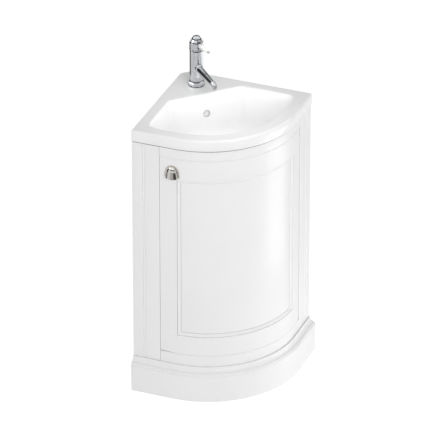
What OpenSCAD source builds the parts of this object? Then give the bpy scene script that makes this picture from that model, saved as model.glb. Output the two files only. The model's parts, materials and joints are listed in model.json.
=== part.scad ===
// Corner vanity unit: a cabinet with a bowed door, a corner basin, a lever mixer tap and its waste.
// Millimetres, +Z up, floor at z = 0. Modules are drawn with the room corner at the origin, the
// right-hand wall along +X (y = 0) and the left-hand wall along -Y (x = 0); at_origin() then moves
// everything so that the origin lies below the middle of the unit's box.

/* [Cabinet] */
// Reach of the cabinet along each wall
cabinet_w = 430; // [420:5:470]
// Straight length at each end of the bowed front
front_flat = 140; // [130:5:150]
// Height of the cabinet without its basin
cabinet_h = 885; // [860:5:930]
// Thickness of the panels that stand against the walls
side_t = 15; // [12:1:16]
// Thickness of the face frame and of the door
face_t = 18; // [16:1:20]
// Width of each upright of the face frame
stile_w = 91; // [86:1:93]
// Height of the curved rail over the door
top_rail_h = 33; // [28:1:45]
// Height of the rail that shows between the plinth and the door
bottom_rail_h = 37; // [32:1:45]
// Depth to which the bottom rail goes on behind the plinth
bottom_rail_hidden = 48; // [40:1:60]
// Thickness of the cabinet floor
base_t = 18; // [15:1:20]
// Side of the square battens in the inner corners
batten_w = 20; // [16:1:20]
// Side of the square post in the room corner
post_w = 30; // [24:1:34]
// Distance from the wall to the bead of an upright
bead_at = 33; // [28:1:38]
// Width of that bead
bead_w = 9; // [6:1:12]
// Width and depth of the quirk on each side of the bead
quirk_w = 1.2; // [0.8:0.1:1.6]

/* [Shelf] */
// Height of the underside of the shelf
shelf_z = 400; // [360:8:440]
// Thickness of the shelf
shelf_t = 15; // [12:1:18]
// Distance from the cabinet face to the shelf's front edge
shelf_set_back = 40; // [36:1:60]
// Radius of a shelf peg
peg_r = 2.5; // [2:0.5:3]
// Distances of the peg holes from the room corner
peg_at = [80, 340];
// Spacing of the rows of peg holes
peg_pitch = 32; // [25:1:40]

/* [Service and wall fixing] */
// Width of the service opening in each wall panel
service_w = 120; // [100:5:150]
// Height of each service opening
service_h = 200; // [160:5:200]
// Radius of a wall fixing hole
fixing_r = 4; // [3:0.5:5]
// Distance from the top of the cabinet down to the wall fixing holes
fixing_drop = 85; // [70:5:95]
// Distance from the room corner to the middle of each pair of fixing holes
fixing_at = 210; // [190:5:230]
// Distance between the two holes of a pair
fixing_pitch = 240; // [200:10:260]

/* [Plinth] */
// Height of the plinth with its moulding
plinth_h = 118; // [100:2:130]
// Height of the moulding on the plinth
mould_h = 28; // [24:1:32]
// Projection of the plinth board beyond the cabinet face
plinth_out = 22; // [18:1:26]
// Projection of the moulding's bead beyond the board
bead_out = 2; // [1:0.5:3]
// Projection of the moulding's top fillet
fillet_out = 6; // [4:1:8]

/* [Door] */
// Gap round the door
door_gap = 3; // [2.5:0.5:4]
// Width of the door's uprights
door_stile_w = 55; // [50:1:60]
// Height of the door's top rail
door_top_h = 68; // [60:1:75]
// Height of the door's bottom rail
door_bottom_h = 64; // [56:1:75]
// Width of the moulding that frames the panel
door_mould_w = 10.5; // [8:0.5:12]
// Set-back of the panel from the door's face
panel_back = 7; // [6:0.5:8]
// Thickness of the panel
panel_t = 6; // [4:0.5:6]
// Depth of the grooves that hold the panel
groove = 8; // [6:1:10]
// Radius of the pivot pins
pin_r = 3; // [2.5:0.5:3.5]
// Radius of the bushes that run on the pins
bush_r = 5.5; // [5:0.5:6]
// Length of a bush
bush_h = 16; // [12:1:20]
// Size of a pivot plate: width, length and thickness
plate = [12, 38, 2.5];
// Projection of the cup knob from the door
knob_out = 19; // [16:1:23]
// Half the width of the knob's plate
knob_plate_r = 25; // [22:1:26]
// Height of the knob's plate
knob_plate_h = 42; // [38:1:46]
// Thickness of the knob's plate
knob_plate_t = 2; // [1.5:0.5:3]
// How far the fluted cup is in from the edge of its plate
knob_in = 3.5; // [2:0.5:5]
// Distance from the left-hand wall to the knob
knob_at = 134; // [128:1:136]
// Distance from the top of the door down to the knob
knob_drop = 42; // [36:1:49]

/* [Basin] */
// Overhang of the basin beyond the cabinet face
basin_over = 4; // [2:1:8]
// Height of the basin's edge
basin_edge_h = 40; // [36:1:50]
// Thickness of the ceramic
basin_t = 12; // [10:1:13]
// Thickness of the tap deck
deck_t = 14; // [12:1:18]
// Width of the rim in front of the bowl
rim_front = 44; // [38:1:50]
// Width of the rim beside the bowl
rim_side = 36; // [32:1:44]
// Distance along the diagonal from the room corner to the bowl's back edge
deck_s = 168; // [160:1:180]
// Depth of the bowl
bowl_depth = 135; // [125:5:140]
// Radius of the rounded corners of the bowl
bowl_corner_r = 26; // [18:1:34]
// Radius of the rolled top edge
roll_r = 8; // [5:1:10]
// Length of the clipped room corner, along each wall
clip = 24; // [18:1:32]
// Lean of the bowl's walls, in degrees
wall_lean = 9.4; // [6:0.2:12]
// Inset of the bowl's rounded bottom
dish = 86; // [78:1:90]
// Depth of the overflow below the rim
overflow_depth = 65; // [60:1:70]
// Radius of the overflow hole
overflow_r = 8.5; // [7:0.5:10]

/* [Tap] */
// Distance along the diagonal from the room corner to the tap
tap_s = 106; // [102:1:110]
// Radius of the tap's barrel
tap_r = 21.5; // [20:0.5:22]
// Radius of the hole in the deck
tap_hole_r = 17.5; // [17:0.5:18]
// Height of the eight-sided foot
foot_h = 14; // [10:1:18]
// Radius of the foot, to its corners
foot_r = 27; // [26:0.5:29]
// Height of the ring between the barrel and the cap
ring_z = 125; // [122:1:126]
// Height of the spout's root above the deck
spout_z = 66; // [60:1:72]
// Reach of the spout from the tap's axis
spout_reach = 140; // [120:1:145]
// Radius of the spout at its root
spout_r = 12; // [10:0.5:13]
// Radius of the spout at its nose
nose_r = 9; // [8:0.5:10]
// Height of the lever's axis above the deck
lever_z = 144; // [142:1:145]
// Rise of the lever at rest, in degrees
lever_rise = 8; // [5:1:10]
// Length of the ceramic handle
handle_l = 56; // [48:1:62]
// Height of the cap over the ring
cap_h = 34; // [33:1:38]

/* [Waste] */
// Radius of the waste flange
flange_r = 31; // [29:1:34]
// Radius of the waste's threaded tube
waste_r = 20.9; // [20:0.1:21.5]
// Radius of the trap's body
trap_r = 30; // [28:1:34]
// Radius of the trap's outlet pipe
outlet_r = 16; // [15:0.5:20]
// Length of the waste's threaded tube below the basin
waste_l = 78; // [70:1:90]
// Distance from the end of that tube down to the trap's outlet
outlet_drop = 35; // [32:1:45]
// Travel of the click-clack plug
plug_travel = 6; // [4:1:8]

/* [Hidden] */
$fn = 96;
fit = 0.1; // clearance of a fixed piece in its hole
run = 0.05; // radial clearance of a turning or sliding piece
seat = 0.3; // gap between faces that close on each other
big = 2000; // larger than the unit
front_r = cabinet_w - front_flat; // radius of the bowed front
rim_z = cabinet_h + basin_edge_h; // top of the basin
frame_bottom = plinth_h + bottom_rail_h; // top of the bottom rail
frame_top = cabinet_h - top_rail_h; // underside of the top rail
base_z = frame_bottom - base_t; // underside of the cabinet floor
door_low = frame_bottom + door_gap;
door_high = frame_top - door_gap;
door_edge = stile_w + door_gap; // distance from a wall to the door's edge
window_edge = door_edge + door_stile_w; // distance from a wall to the opening in the door's frame
window_low = door_low + door_bottom_h;
window_high = door_high - door_top_h;
pivot_x = cabinet_w - face_t / 2;
pivot_y = -(door_edge + face_t / 2);
plinth_reach = cabinet_w + plinth_out + bead_out;
knob_reach = cabinet_w + knob_out;
reach_y = max(plinth_reach, knob_reach);
deck_z = rim_z - deck_t; // underside of the tap deck
bowl_z = rim_z - bowl_depth; // inside bottom of the bowl
bowl_under = bowl_z - basin_t;
floor_z = bowl_z + 22; // top of the piece of the basin that is its floor
bowl_rings = 9; // outlines that the bowl's wall is drawn through
// Depth and inset of the bowl's wall where it has turned by a degrees towards its flat bottom
function wall_depth(a, t = 0) = (bowl_depth + t) * pow(sin(a), 1 / 3);
function wall_inset(a, t = 0) = wall_depth(a, t) * tan(wall_lean) + dish * (1 - cos(a));
first_turn = 90 / (bowl_rings - 1);
back_lean = atan(wall_inset(first_turn) / wall_depth(first_turn)); // of the wall's upper stretch
overflow_s = deck_s + overflow_depth * tan(back_lean);
overflow_z = rim_z - overflow_depth;
gasket_t = 1.5;
ring_h = 3;
spindle_r = 5;
finial_r = 13;
cap_bore_r = 15;
cap_floor = 4;
stem_r = 4.5;
slot_w = 2 * stem_r + 2;
lever_pin_r = 2;
bowl_front_s = front_flat * sqrt(2) + front_r + basin_over - rim_front; // its edge on the diagonal
waste_s = (deck_s + bowl_front_s) / 2; // the waste is in the middle of the bowl
waste_low = bowl_under - waste_l; // lower end of the threaded tube
waste_wall = 4.4;
flange_t = 3;
plug_low = bowl_z + flange_t + seat;
guide_drop = 24;
guide_z = bowl_under - guide_drop;
guide_h = 6;
guide_r = 4;
seal_t = 3;
waste_nut_h = 10;
seal_z = bowl_under - fit - seal_t;
outlet_z = waste_low - outlet_drop;
trap_wall = 3;
body_rise = 25; // of the trap's body above its outlet, and below it
body_drop = 24;
trap_top = outlet_z + body_rise;
trap_rim_h = 12;
trap_foot_h = 10;
trap_depth = 95; // from the outlet down to the bottom of the bottle
trap_low = outlet_z - trap_depth;
bottle_top = outlet_z - body_drop - trap_rim_h;
boss_l = 18; // of the outlet's boss beyond the trap's body
pipe_in = 6;
pipe_step = 1.5; // how much smaller the pipe is inside its joint
outlet_end = 30; // distance from the wall to the end of the outlet pipe
outlet_nut_h = 14;
pipe_free = trap_r + boss_l + outlet_nut_h + 2; // where the pipe's full size starts, past its nut
waste_u = waste_s / sqrt(2); // distance of the waste from each wall
service_z = outlet_z; // the service openings are level with the outlet
trap_nut_h = 20;
overflow_boss = 24;
overflow_reach = 20;
screw_r = 2;
knob_z = door_high - knob_drop;
fixing_z = cabinet_h - fixing_drop;
catch_drop = 52;
catch_z = frame_top - catch_drop;
catch_h = 40;
catch_w = 30;
catch_t = 16;
stop_h = 8;
strike_t = 2;
pad_t = 2;
clamp_t = 2.5;
tap_nut_h = 20;
clamp_z = -deck_t - fit - pad_t - clamp_t; // from the rim
inlet_r = 4.5;
inlet_l = 12;
inlet_at = [-7, 8.5];
stud_at = 9.5;
stud_r = 4;
stud_up = 6;
stud_l = 68;
shank_l = 8;
cartridge_r = 17;
spout_drop = 1; // degrees below level
nose_z = spout_z - spout_reach * tan(spout_drop);
nose_drop = 14;
collar_x = tap_r + 3;
collar_l = 9;
handle_x = collar_x + collar_l;
big_step = 5; // how far the cutting shapes of the door's moulding run past it

// ---- placing ----

module at_origin() translate([-plinth_reach / 2, reach_y / 2, 0]) children();

// The same thing on the other side of the diagonal
module opposite() mirror([1, 1, 0]) children();

// Local +X points out of the room corner along the diagonal, from a point s along it
module on_diagonal(s) rotate([0, 0, -45]) translate([s, 0, 0]) children();

module upside_down_at(z) translate([0, 0, z]) mirror([0, 0, 1]) children();

// Local +Z points out of the door's face at the knob
module at_knob() translate([knob_at, -cabinet_w, knob_z]) rotate([90, 0, 0]) children();

// ---- plan shapes ----

// The cabinet's plan with its front moved back by d
module plan(d = 0) {
    r = front_r - d;
    translate([0, -front_flat]) square([front_flat + r, front_flat]);
    translate([0, -front_flat - r]) square([front_flat, front_flat + r]);
    translate([front_flat, -front_flat]) intersection() {
        circle(r);
        translate([0, -big]) square(big);
    }
}

// The strip between two set-backs from the cabinet's face
module band(near, far) difference() {
    plan(near);
    plan(far);
}

// Everything at least d away from both walls
module clear_of_walls(d) translate([d, -big - d]) square(big);

module front_piece(near, far, edge, low, high) translate([0, 0, low]) linear_extrude(high - low)
    intersection() {
        band(near, far);
        clear_of_walls(edge);
    }

// A profile, drawn as distance from the arc's centre against height, run along the bowed front
module front_sweep() translate([front_flat, -front_flat, 0]) {
    rotate([0, 0, -90]) rotate_extrude(angle = 90) children();
    translate([0, front_flat, 0]) rotate([90, 0, 0]) linear_extrude(front_flat) children();
    rotate([0, 0, -90]) rotate([90, 0, 0]) linear_extrude(front_flat) children();
}

// ---- cabinet ----

module service_cut() translate([-side_t, -waste_u - service_w / 2, service_z - service_h / 2])
    cube([3 * side_t, service_w, service_h]);

module side_panel_left() color("whitesmoke") difference() {
    translate([0, -(cabinet_w - face_t), 0]) cube([side_t, cabinet_w - face_t, cabinet_h]);
    side_holes();
}

module side_panel_right() color("whitesmoke") difference() {
    opposite() translate([0, -(cabinet_w - face_t), 0])
        cube([side_t, cabinet_w - face_t - side_t, cabinet_h]);
    opposite() side_holes();
}

module side_holes() {
    service_cut();
    for (end = [-1, 1]) translate([-side_t, -fixing_at + end * fixing_pitch / 2, fixing_z])
        rotate([0, 90, 0]) cylinder(r = fixing_r, h = 3 * side_t);
    for (y = peg_at, row = [-1, 0, 1])
        translate([side_t / 2, -y, shelf_z - peg_r + row * peg_pitch])
            rotate([0, 90, 0]) cylinder(r = peg_r + fit, h = side_t);
    panel_screw_set(screw_r + fit);
}

// Screws that go through a wall panel into the cabinet floor
module panel_screw_set(r) for (y = peg_at) translate([0, -y, base_z + base_t / 2])
    rotate([0, 90, 0]) {
        cylinder(r = r, h = 3 * side_t);
        cylinder(r = 2 * r, h = r);
    }

module panel_screws() color("silver") {
    panel_screw_set(screw_r);
    opposite() panel_screw_set(screw_r);
}

module corner_post() color("whitesmoke") translate([side_t, -side_t - post_w, frame_bottom])
    cube([post_w, post_w, cabinet_h - frame_bottom - basin_t - fit]);

module corner_batten() translate([side_t, -(cabinet_w - face_t), frame_bottom])
    cube([batten_w, batten_w, bowl_z - frame_bottom]);

// The square timbers that stand in the cabinet's corners
module corner_frame() {
    corner_post();
    color("whitesmoke") corner_batten();
    color("whitesmoke") opposite() corner_batten();
}

module base_panel() color("whitesmoke") difference() {
    translate([0, 0, base_z]) linear_extrude(base_t) intersection() {
        plan(face_t);
        clear_of_walls(side_t);
    }
    panel_screw_set(screw_r + fit);
    opposite() panel_screw_set(screw_r + fit);
}

module shelf() color("whitesmoke") difference() {
    translate([0, 0, shelf_z]) linear_extrude(shelf_t) intersection() {
        plan(shelf_set_back);
        clear_of_walls(side_t + seat);
    }
    translate([0, -side_t - post_w - seat, shelf_z - shelf_t])
        cube([side_t + post_w + seat, side_t + post_w + seat, 3 * shelf_t]);
}

module peg_pair() for (y = peg_at) translate([side_t / 2, -y, shelf_z - peg_r])
    rotate([0, 90, 0]) cylinder(r = peg_r, h = side_t + peg_r);

module shelf_pegs() color("silver") {
    peg_pair();
    opposite() peg_pair();
}

// Plan of an upright: a board with a quirked bead along it
module stile_plan() difference() {
    translate([0, -cabinet_w]) square([stile_w, face_t]);
    for (x = [bead_at, bead_at + bead_w - quirk_w])
        translate([x, -cabinet_w - quirk_w]) square([quirk_w, 2.5 * quirk_w]);
}

module stile() color("ivory") linear_extrude(cabinet_h) stile_plan();

module stiles() {
    stile();
    opposite() stile();
}

module top_rail() color("ivory") difference() {
    front_piece(0, face_t, stile_w, frame_top, cabinet_h);
    hinge_ends_cut();
}

module bottom_rail() color("ivory") difference() {
    front_piece(0, face_t, stile_w, plinth_h - bottom_rail_hidden, frame_bottom);
    hinge_ends_cut();
}

module front_rails() {
    top_rail();
    bottom_rail();
}

// ---- plinth ----

module plinth_board() color("ivory") front_sweep() translate([front_r, 0])
    square([plinth_out, plinth_h - mould_h]);

// Profile: fillet, cove and bead
module plinth_moulding() color("ivory") front_sweep() translate([front_r, plinth_h - mould_h]) {
    bead_r = mould_h / 8;
    cove_r = mould_h / 2;
    difference() {
        square([plinth_out + bead_out - bead_r, mould_h]);
        translate([plinth_out + bead_out - bead_r, mould_h - 3])
            scale([(plinth_out + bead_out - bead_r - fillet_out) / cove_r, 1]) circle(cove_r);
        translate([fillet_out, mould_h - 3]) square([plinth_out, mould_h]);
    }
    translate([plinth_out + bead_out - bead_r, bead_r]) circle(bead_r);
}

// ---- door ----

// The pivot's parts for the foot of the door; the head has the same, upside down
module both_ends() {
    children();
    upside_down_at(frame_bottom + frame_top) children();
}

module plate_shape(gap) translate([pivot_x - plate.x / 2 - gap, pivot_y + plate.x / 2 - plate.y - gap,
    frame_bottom - plate.z - gap]) cube([plate.x + 2 * gap, plate.y + 2 * gap, plate.z + 2 * gap]);

module screw_spots() for (along = [0.5, 0.82])
    translate([pivot_x, pivot_y - along * plate.y + plate.x / 2, frame_bottom]) children();

module plate_screw(gap) {
    upside_down_at(0) cylinder(r1 = 2 * screw_r + gap, r2 = screw_r + gap, h = plate.z);
    upside_down_at(0) cylinder(r = screw_r + gap, h = 16);
}

module hinge_ends_cut() both_ends() {
    plate_shape(0);
    screw_spots() plate_screw(fit);
}

module pivot_pins() color("silver") both_ends() {
    difference() {
        plate_shape(0);
        screw_spots() plate_screw(fit);
    }
    translate([pivot_x, pivot_y, frame_bottom - plate.z / 2])
        cylinder(r = pin_r, h = plate.z / 2 + door_gap + bush_h - seat);
}

// Every screw that stays on the cabinet: those of its panels and those of the pivot plates
module cabinet_screws() {
    panel_screws();
    color("silver") both_ends() screw_spots() plate_screw(0);
}

module pivot_washer() color("white") translate([pivot_x, pivot_y, frame_bottom]) difference() {
    cylinder(r = face_t / 2 - 1, h = door_gap - fit);
    translate([0, 0, -door_gap]) cylinder(r = pin_r + fit, h = 3 * door_gap);
}

module pivot_bushes() color("silver") both_ends() translate([pivot_x, pivot_y, door_low])
    difference() {
        cylinder(r = bush_r, h = bush_h);
        translate([0, 0, -bush_h]) cylinder(r = pin_r + run, h = 3 * bush_h);
    }

module panel_grooves() front_piece(panel_back - fit, panel_back + panel_t + fit,
    window_edge - groove - fit, window_low - groove - fit, window_high + groove + fit);

module door_stile_hinge() color("ivory") difference() {
    translate([0, 0, door_low]) linear_extrude(door_high - door_low) {
        intersection() {
            band(0, face_t);
            translate([0, -window_edge]) square([big, window_edge + pivot_y]);
        }
        translate([pivot_x, pivot_y]) intersection() {
            circle(face_t / 2);
            translate([-big / 2, 0]) square(big);
        }
    }
    both_ends() translate([pivot_x, pivot_y, door_low - bush_h]) cylinder(r = bush_r, h = 2 * bush_h);
    panel_grooves();
}

module door_stile_knob() color("ivory") difference() {
    translate([0, 0, door_low]) linear_extrude(door_high - door_low) intersection() {
        band(0, face_t);
        translate([door_edge, -big]) square([door_stile_w, big]);
    }
    panel_grooves();
    at_knob() translate([0, 0, -2 * face_t]) cylinder(r = screw_r + fit, h = 3 * face_t);
}

module door_rail_top() color("ivory") difference() {
    front_piece(0, face_t, window_edge, window_high, door_high);
    panel_grooves();
}

module door_rail_bottom() color("ivory") difference() {
    front_piece(0, face_t, window_edge, door_low, window_low);
    panel_grooves();
}

module door_rails() {
    door_rail_top();
    door_rail_bottom();
}

module door_panel() color("ivory") front_piece(panel_back, panel_back + panel_t,
    window_edge - groove, window_low - groove, window_high + groove);

// One step of the moulding: a frame w wide whose outside is e in from the frame's opening
module mould_step(e, w, near) difference() {
    front_piece(near, panel_back, window_edge + e, window_low + e, window_high - e);
    front_piece(-big_step, panel_back + big_step, window_edge + e + w,
        window_low + e + w, window_high - e - w);
}

module door_moulding() color("ivory") {
    mould_step(0, door_mould_w / 2, 1.5);
    mould_step(door_mould_w / 2, door_mould_w / 2, 4);
}

module strike_plate() color("silver")
    translate([door_edge + strike_t, -(cabinet_w - face_t), catch_z - catch_h / 2 + 2 * strike_t])
        cube([catch_w - 4 * strike_t, strike_t, catch_h - 4 * strike_t]);

module magnet_catch() color("white") translate([0, -(cabinet_w - face_t), catch_z - catch_h / 2]) {
    translate([stile_w - catch_w, 0, 0]) cube([catch_w, catch_t, catch_h]);
    translate([stile_w, strike_t + seat, 0]) cube([catch_w, catch_t - strike_t - seat, catch_h]);
}

module door_stop() color("ivory") translate([0, -(cabinet_w - face_t), frame_bottom]) {
    translate([stile_w - batten_w, 0, 0]) cube([batten_w, stop_h, catch_z - catch_h - frame_bottom]);
    translate([stile_w, seat, 0])
        cube([batten_w / 2, stop_h - seat, catch_z - catch_h - frame_bottom]);
}

// Half of a bell's outline, from its top down: share of its radius, share of its height
bell = [[0, 0.5], [0.36, 0.46], [0.55, 0.41], [0.71, 0.31], [0.84, 0.15], [0.92, -0.04],
    [0.97, -0.27], [1, -0.5]];

// A bell with n flat sides, r in radius and h high, pressed flat to stand only out from a plate
module flat_bell(r, h, out, n) scale([1, 1, out / r]) rotate([-90, 0, 0]) rotate_extrude($fn = n)
    polygon(concat([for (p = bell) [p[0] * r, p[1] * h]], [[0, -h / 2]]));

// The cup is cast solid above, with room for a finger underneath
module knob() color("silver") at_knob() translate([0, 0, knob_plate_t]) {
    cup_r = knob_plate_r - knob_in;
    cup_h = knob_plate_h - knob_in;
    cup_out = knob_out - knob_plate_t;
    wall = 3.5;
    difference() {
        translate([0, -knob_in / 2, 0]) flat_bell(cup_r, cup_h, cup_out, 12);
        translate([-big, -big, -2 * big]) cube(2 * big);
        translate([0, -cup_h / 2, 0]) flat_bell(cup_r - wall, cup_h / 2, cup_out - wall, 12);
        translate([0, 0, -knob_out]) cylinder(r = screw_r + fit / 2, h = 1.5 * knob_out);
    }
}

module knob_plate() color("silver") at_knob() difference() {
    linear_extrude(knob_plate_t) polygon(concat(
        [for (p = bell) [p[0] * knob_plate_r, p[1] * knob_plate_h]],
        [for (i = [len(bell) - 1 : -1 : 1]) [-bell[i][0] * knob_plate_r, bell[i][1] * knob_plate_h]]));
    translate([0, 0, -knob_plate_t]) cylinder(r = screw_r + fit, h = 3 * knob_plate_t);
}

module knob_screw() color("silver") at_knob() {
    translate([0, 0, -face_t]) cylinder(r = screw_r, h = face_t + knob_out / 2 - 2);
    translate([0, 0, -face_t - 2]) cylinder(r = 2 * screw_r, h = 2);
}

// ---- basin ----

// Plan of the bowl with its edge moved in by d
module bowl_plan(d) offset(r = bowl_corner_r, $fn = 32) offset(delta = -bowl_corner_r)
    intersection() {
        plan(rim_front - basin_over + d);
        clear_of_walls(rim_side + d);
        rotate([0, 0, -45]) translate([deck_s + d, -big / 2]) square(big);
    }

// The bowl as a solid, grown outwards by t: leaning walls that turn smoothly into a flat bottom
module bowl_solid(t, lift) hull() for (i = [0:bowl_rings - 1]) {
    turn = i * first_turn;
    translate([0, 0, rim_z + (i == 0 ? lift : 0) - wall_depth(turn, t)]) linear_extrude(0.1)
        bowl_plan(wall_inset(turn, t) - t);
}

module at_overflow() on_diagonal(overflow_s) translate([0, 0, overflow_z])
    rotate([0, 90 - back_lean, 0]) children();

module rim_profile() translate([front_r + basin_over - basin_t, cabinet_h]) {
    square([basin_t, basin_edge_h - roll_r]);
    square([basin_t - roll_r, basin_edge_h]);
    translate([basin_t - roll_r, basin_edge_h - roll_r]) intersection() {
        circle(roll_r);
        square(2 * roll_r);
    }
}

module whole_basin() color("white") difference() {
    union() {
        front_sweep() rim_profile();
        translate([0, 0, deck_z]) linear_extrude(deck_t) plan(basin_t - basin_over);
        for (right = [false, true]) basin_wall_edge(right);
        bowl_solid(basin_t, -1);
        at_overflow() translate([0, 0, -overflow_boss])
            cylinder(r = 2 * overflow_r, h = overflow_boss - basin_t / 2);
    }
    bowl_solid(0, 1);
    on_diagonal(tap_s) translate([0, 0, deck_z - deck_t]) cylinder(r = tap_hole_r, h = 3 * deck_t);
    on_diagonal(waste_s) translate([0, 0, bowl_under - basin_t])
        cylinder(r = waste_r + 2 * fit, h = 4 * basin_t);
    at_overflow() translate([0, 0, -overflow_reach])
        cylinder(r = overflow_r, h = 2 * overflow_reach);
    translate([0, 0, cabinet_h - 1]) linear_extrude(2 * basin_edge_h)
        polygon([[-1, 1], [clip, 1], [-1, -clip]]);
}

// The basin is one casting. It is drawn in pieces that meet on flat cuts, so that the space in the
// bowl stays open in the collision shapes: a floor, and wedges about the waste's axis between
// neighbouring points of this list, which goes round from the left-hand corner of the bowl.
bowl_edge = cabinet_w + basin_over - rim_front;
side_edge = deck_s * sqrt(2) - rim_side;
wedge_at = [[rim_side, -bowl_edge], [waste_u - batten_w, -cabinet_w], [cabinet_w, -cabinet_w],
    [cabinet_w, -waste_u + batten_w], [bowl_edge, -rim_side], [side_edge, -rim_side],
    [rim_side, -side_edge]];

module basin_wedge(i) {
    centre = [waste_u, -waste_u];
    one = wedge_at[i];
    two = wedge_at[(i + 1) % len(wedge_at)];
    intersection() {
        whole_basin();
        translate([0, 0, floor_z]) linear_extrude(big)
            polygon([centre, centre + 4 * (one - centre), centre + 4 * (two - centre)]);
    }
}

module basin_front_left() basin_wedge(0);

module basin_front_middle_left() basin_wedge(1);

module basin_front_middle_right() basin_wedge(2);

module basin_front_right() basin_wedge(3);

module basin_back() difference() {
    basin_wedge(5);
    above_deck_underside();
}

module basin_deck() intersection() {
    basin_wedge(5);
    above_deck_underside();
}

module above_deck_underside() translate([-big / 2, -big / 2, deck_z]) cube(big);

module basin_sides() {
    basin_wedge(4);
    basin_wedge(6);
}

module basin_floor() intersection() {
    whole_basin();
    translate([0, -big, floor_z - big]) cube(big);
}

module basin_wall_edge(right) mirror(right ? [1, 1, 0] : [0, 0, 0])
    translate([0, -cabinet_w + basin_t, cabinet_h])
        cube([basin_t, cabinet_w - basin_t, basin_edge_h - deck_t / 2]);

module overflow_ring() color("silver") at_overflow() translate([0, 0, seat]) rotate_extrude()
    polygon([[overflow_r - fit, -6], [overflow_r - fit, 0], [overflow_r + 4, 0], [overflow_r + 3, 2.2],
        [overflow_r, 2.2], [overflow_r - 1, 1], [overflow_r - 1, -6]]);

// ---- tap ----

// Local origin on the tap's axis at the rim, +X towards the bowl
module at_tap() on_diagonal(tap_s) translate([0, 0, rim_z]) children();

module at_hub() at_tap() translate([0, 0, lever_z]) children();

module tap_gasket() color("dimgray") at_tap() difference() {
    cylinder(r = foot_r - 3, h = gasket_t);
    translate([0, 0, -gasket_t]) cylinder(r = tap_hole_r - 1 + fit, h = 3 * gasket_t);
}

module tap_foot() color("silver") at_tap() difference() {
    union() {
        translate([0, 0, gasket_t]) cylinder(r = foot_r, h = 0.7 * foot_h, $fn = 8);
        translate([0, 0, gasket_t + 0.7 * foot_h]) cylinder(r1 = 24.5, r2 = tap_r + 1, h = 0.3 * foot_h);
        translate([0, 0, gasket_t - shank_l]) cylinder(r = tap_hole_r - 1, h = shank_l + gasket_t);
    }
    for (side = [-1, 1]) translate([inlet_at.x, side * inlet_at.y, -2 * shank_l])
        cylinder(r = inlet_r, h = 2 * shank_l + gasket_t - shank_l + inlet_l);
    translate([stud_at, 0, -2 * shank_l]) cylinder(r = stud_r + fit, h = 2 * shank_l + 8);
}

module tap_barrel() color("silver") at_tap() translate([0, 0, gasket_t + foot_h]) difference() {
    cylinder(r = tap_r, h = ring_z - gasket_t - foot_h);
    translate([0, 0, ring_z / 2]) cylinder(r = cartridge_r + fit, h = ring_z);
    at_spout() cylinder(r = spout_r - 3, h = 2 * tap_r);
}

module tap_ring() color("silver") at_tap() translate([0, 0, ring_z]) difference() {
    cylinder(r = tap_r + 1.2, h = ring_h - fit);
    translate([0, 0, -ring_h]) cylinder(r = cartridge_r - 2, h = 3 * ring_h);
}

module tap_cartridge() color("white") at_tap() {
    translate([0, 0, gasket_t + foot_h + ring_z / 2])
        cylinder(r = cartridge_r, h = ring_z / 2 - gasket_t - foot_h);
    translate([0, 0, ring_z - fit]) cylinder(r = spindle_r, h = ring_h + cap_floor);
}

// Local +Z along the spout from the barrel's axis, with z = 0 at the axis
module at_spout() translate([0, 0, spout_z - gasket_t - foot_h]) rotate([0, 90 + spout_drop, 0])
    children();

module tap_spout() color("silver") at_tap() difference() {
    union() {
        translate([0, 0, gasket_t + foot_h]) at_spout()
            cylinder(r1 = spout_r, r2 = nose_r, h = spout_reach / cos(spout_drop));
        translate([spout_reach, 0, nose_z - nose_drop]) cylinder(r = nose_r - 0.5, h = nose_drop);
        translate([spout_reach, 0, nose_z]) sphere(nose_r + 0.3);
    }
    cylinder(r = tap_r, h = ring_z);
    translate([spout_reach, 0, nose_z - 2 * nose_drop]) cylinder(r = nose_r - 1.5, h = 2 * nose_drop);
}

module tap_aerator() color("gray") at_tap() translate([spout_reach, 0, nose_z - nose_drop + 1])
    cylinder(r = nose_r - 1.5 - fit, h = 4);

module tap_stud() color("gold") at_tap() translate([stud_at, 0, stud_up - stud_l])
    cylinder(r = stud_r, h = stud_l);

// A plate with a slot for the tap's tails and a hole for its stud
module horseshoe(t) difference() {
    translate([4, 0, 0]) cylinder(r = 22, h = t);
    translate([-big / 2, -13, -t]) cube([big / 2, 26, 3 * t]);
    translate([stud_at, 0, -t]) cylinder(r = stud_r + fit, h = 3 * t);
}

module tap_clamp_pad() color("dimgray") at_tap() translate([0, 0, clamp_z + clamp_t])
    horseshoe(pad_t);

module tap_clamp() color("silver") at_tap() translate([0, 0, clamp_z])
    horseshoe(clamp_t);

module tap_nut() color("gold") at_tap() translate([stud_at, 0, clamp_z - tap_nut_h]) difference() {
    cylinder(r = 7.5, h = tap_nut_h, $fn = 6);
    translate([0, 0, -tap_nut_h]) cylinder(r = stud_r + fit / 2, h = 3 * tap_nut_h);
}

module tap_cap() color("silver") at_tap() translate([0, 0, ring_z + ring_h]) difference() {
    rotate_extrude() polygon([[0, 0], [tap_r, 0], [tap_r + 0.5, 3], [tap_r + 0.5, cap_h - 12],
        [tap_r - 2, cap_h - 7], [finial_r + 1, cap_h], [0, cap_h]]);
    translate([0, 0, cap_floor]) cylinder(r = cap_bore_r, h = cap_h - 2 * cap_floor - 3);
    translate([0, 0, -cap_floor]) cylinder(r = spindle_r + run, h = 3 * cap_floor);
    translate([0, -slot_w / 2, cap_floor + 4]) cube([2 * tap_r, slot_w, cap_h - 2 * cap_floor - 4]);
    translate([0, 0, lever_z - ring_z - ring_h]) rotate([90, 0, 0])
        cylinder(r = lever_pin_r + run, h = 3 * tap_r, center = true);
}

module tap_finial() color("silver") at_tap() translate([0, 0, ring_z + ring_h + cap_h])
    rotate_extrude() polygon([[0, 0], [finial_r - 0.5, 0], [finial_r, 1.5], [finial_r - 1, 5],
        [finial_r - 5, 8], [0, 9]]);

// Along the lever, from its axis
module along_lever(x) at_hub() rotate([0, 90 - lever_rise, 0]) translate([0, 0, x]) children();

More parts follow.
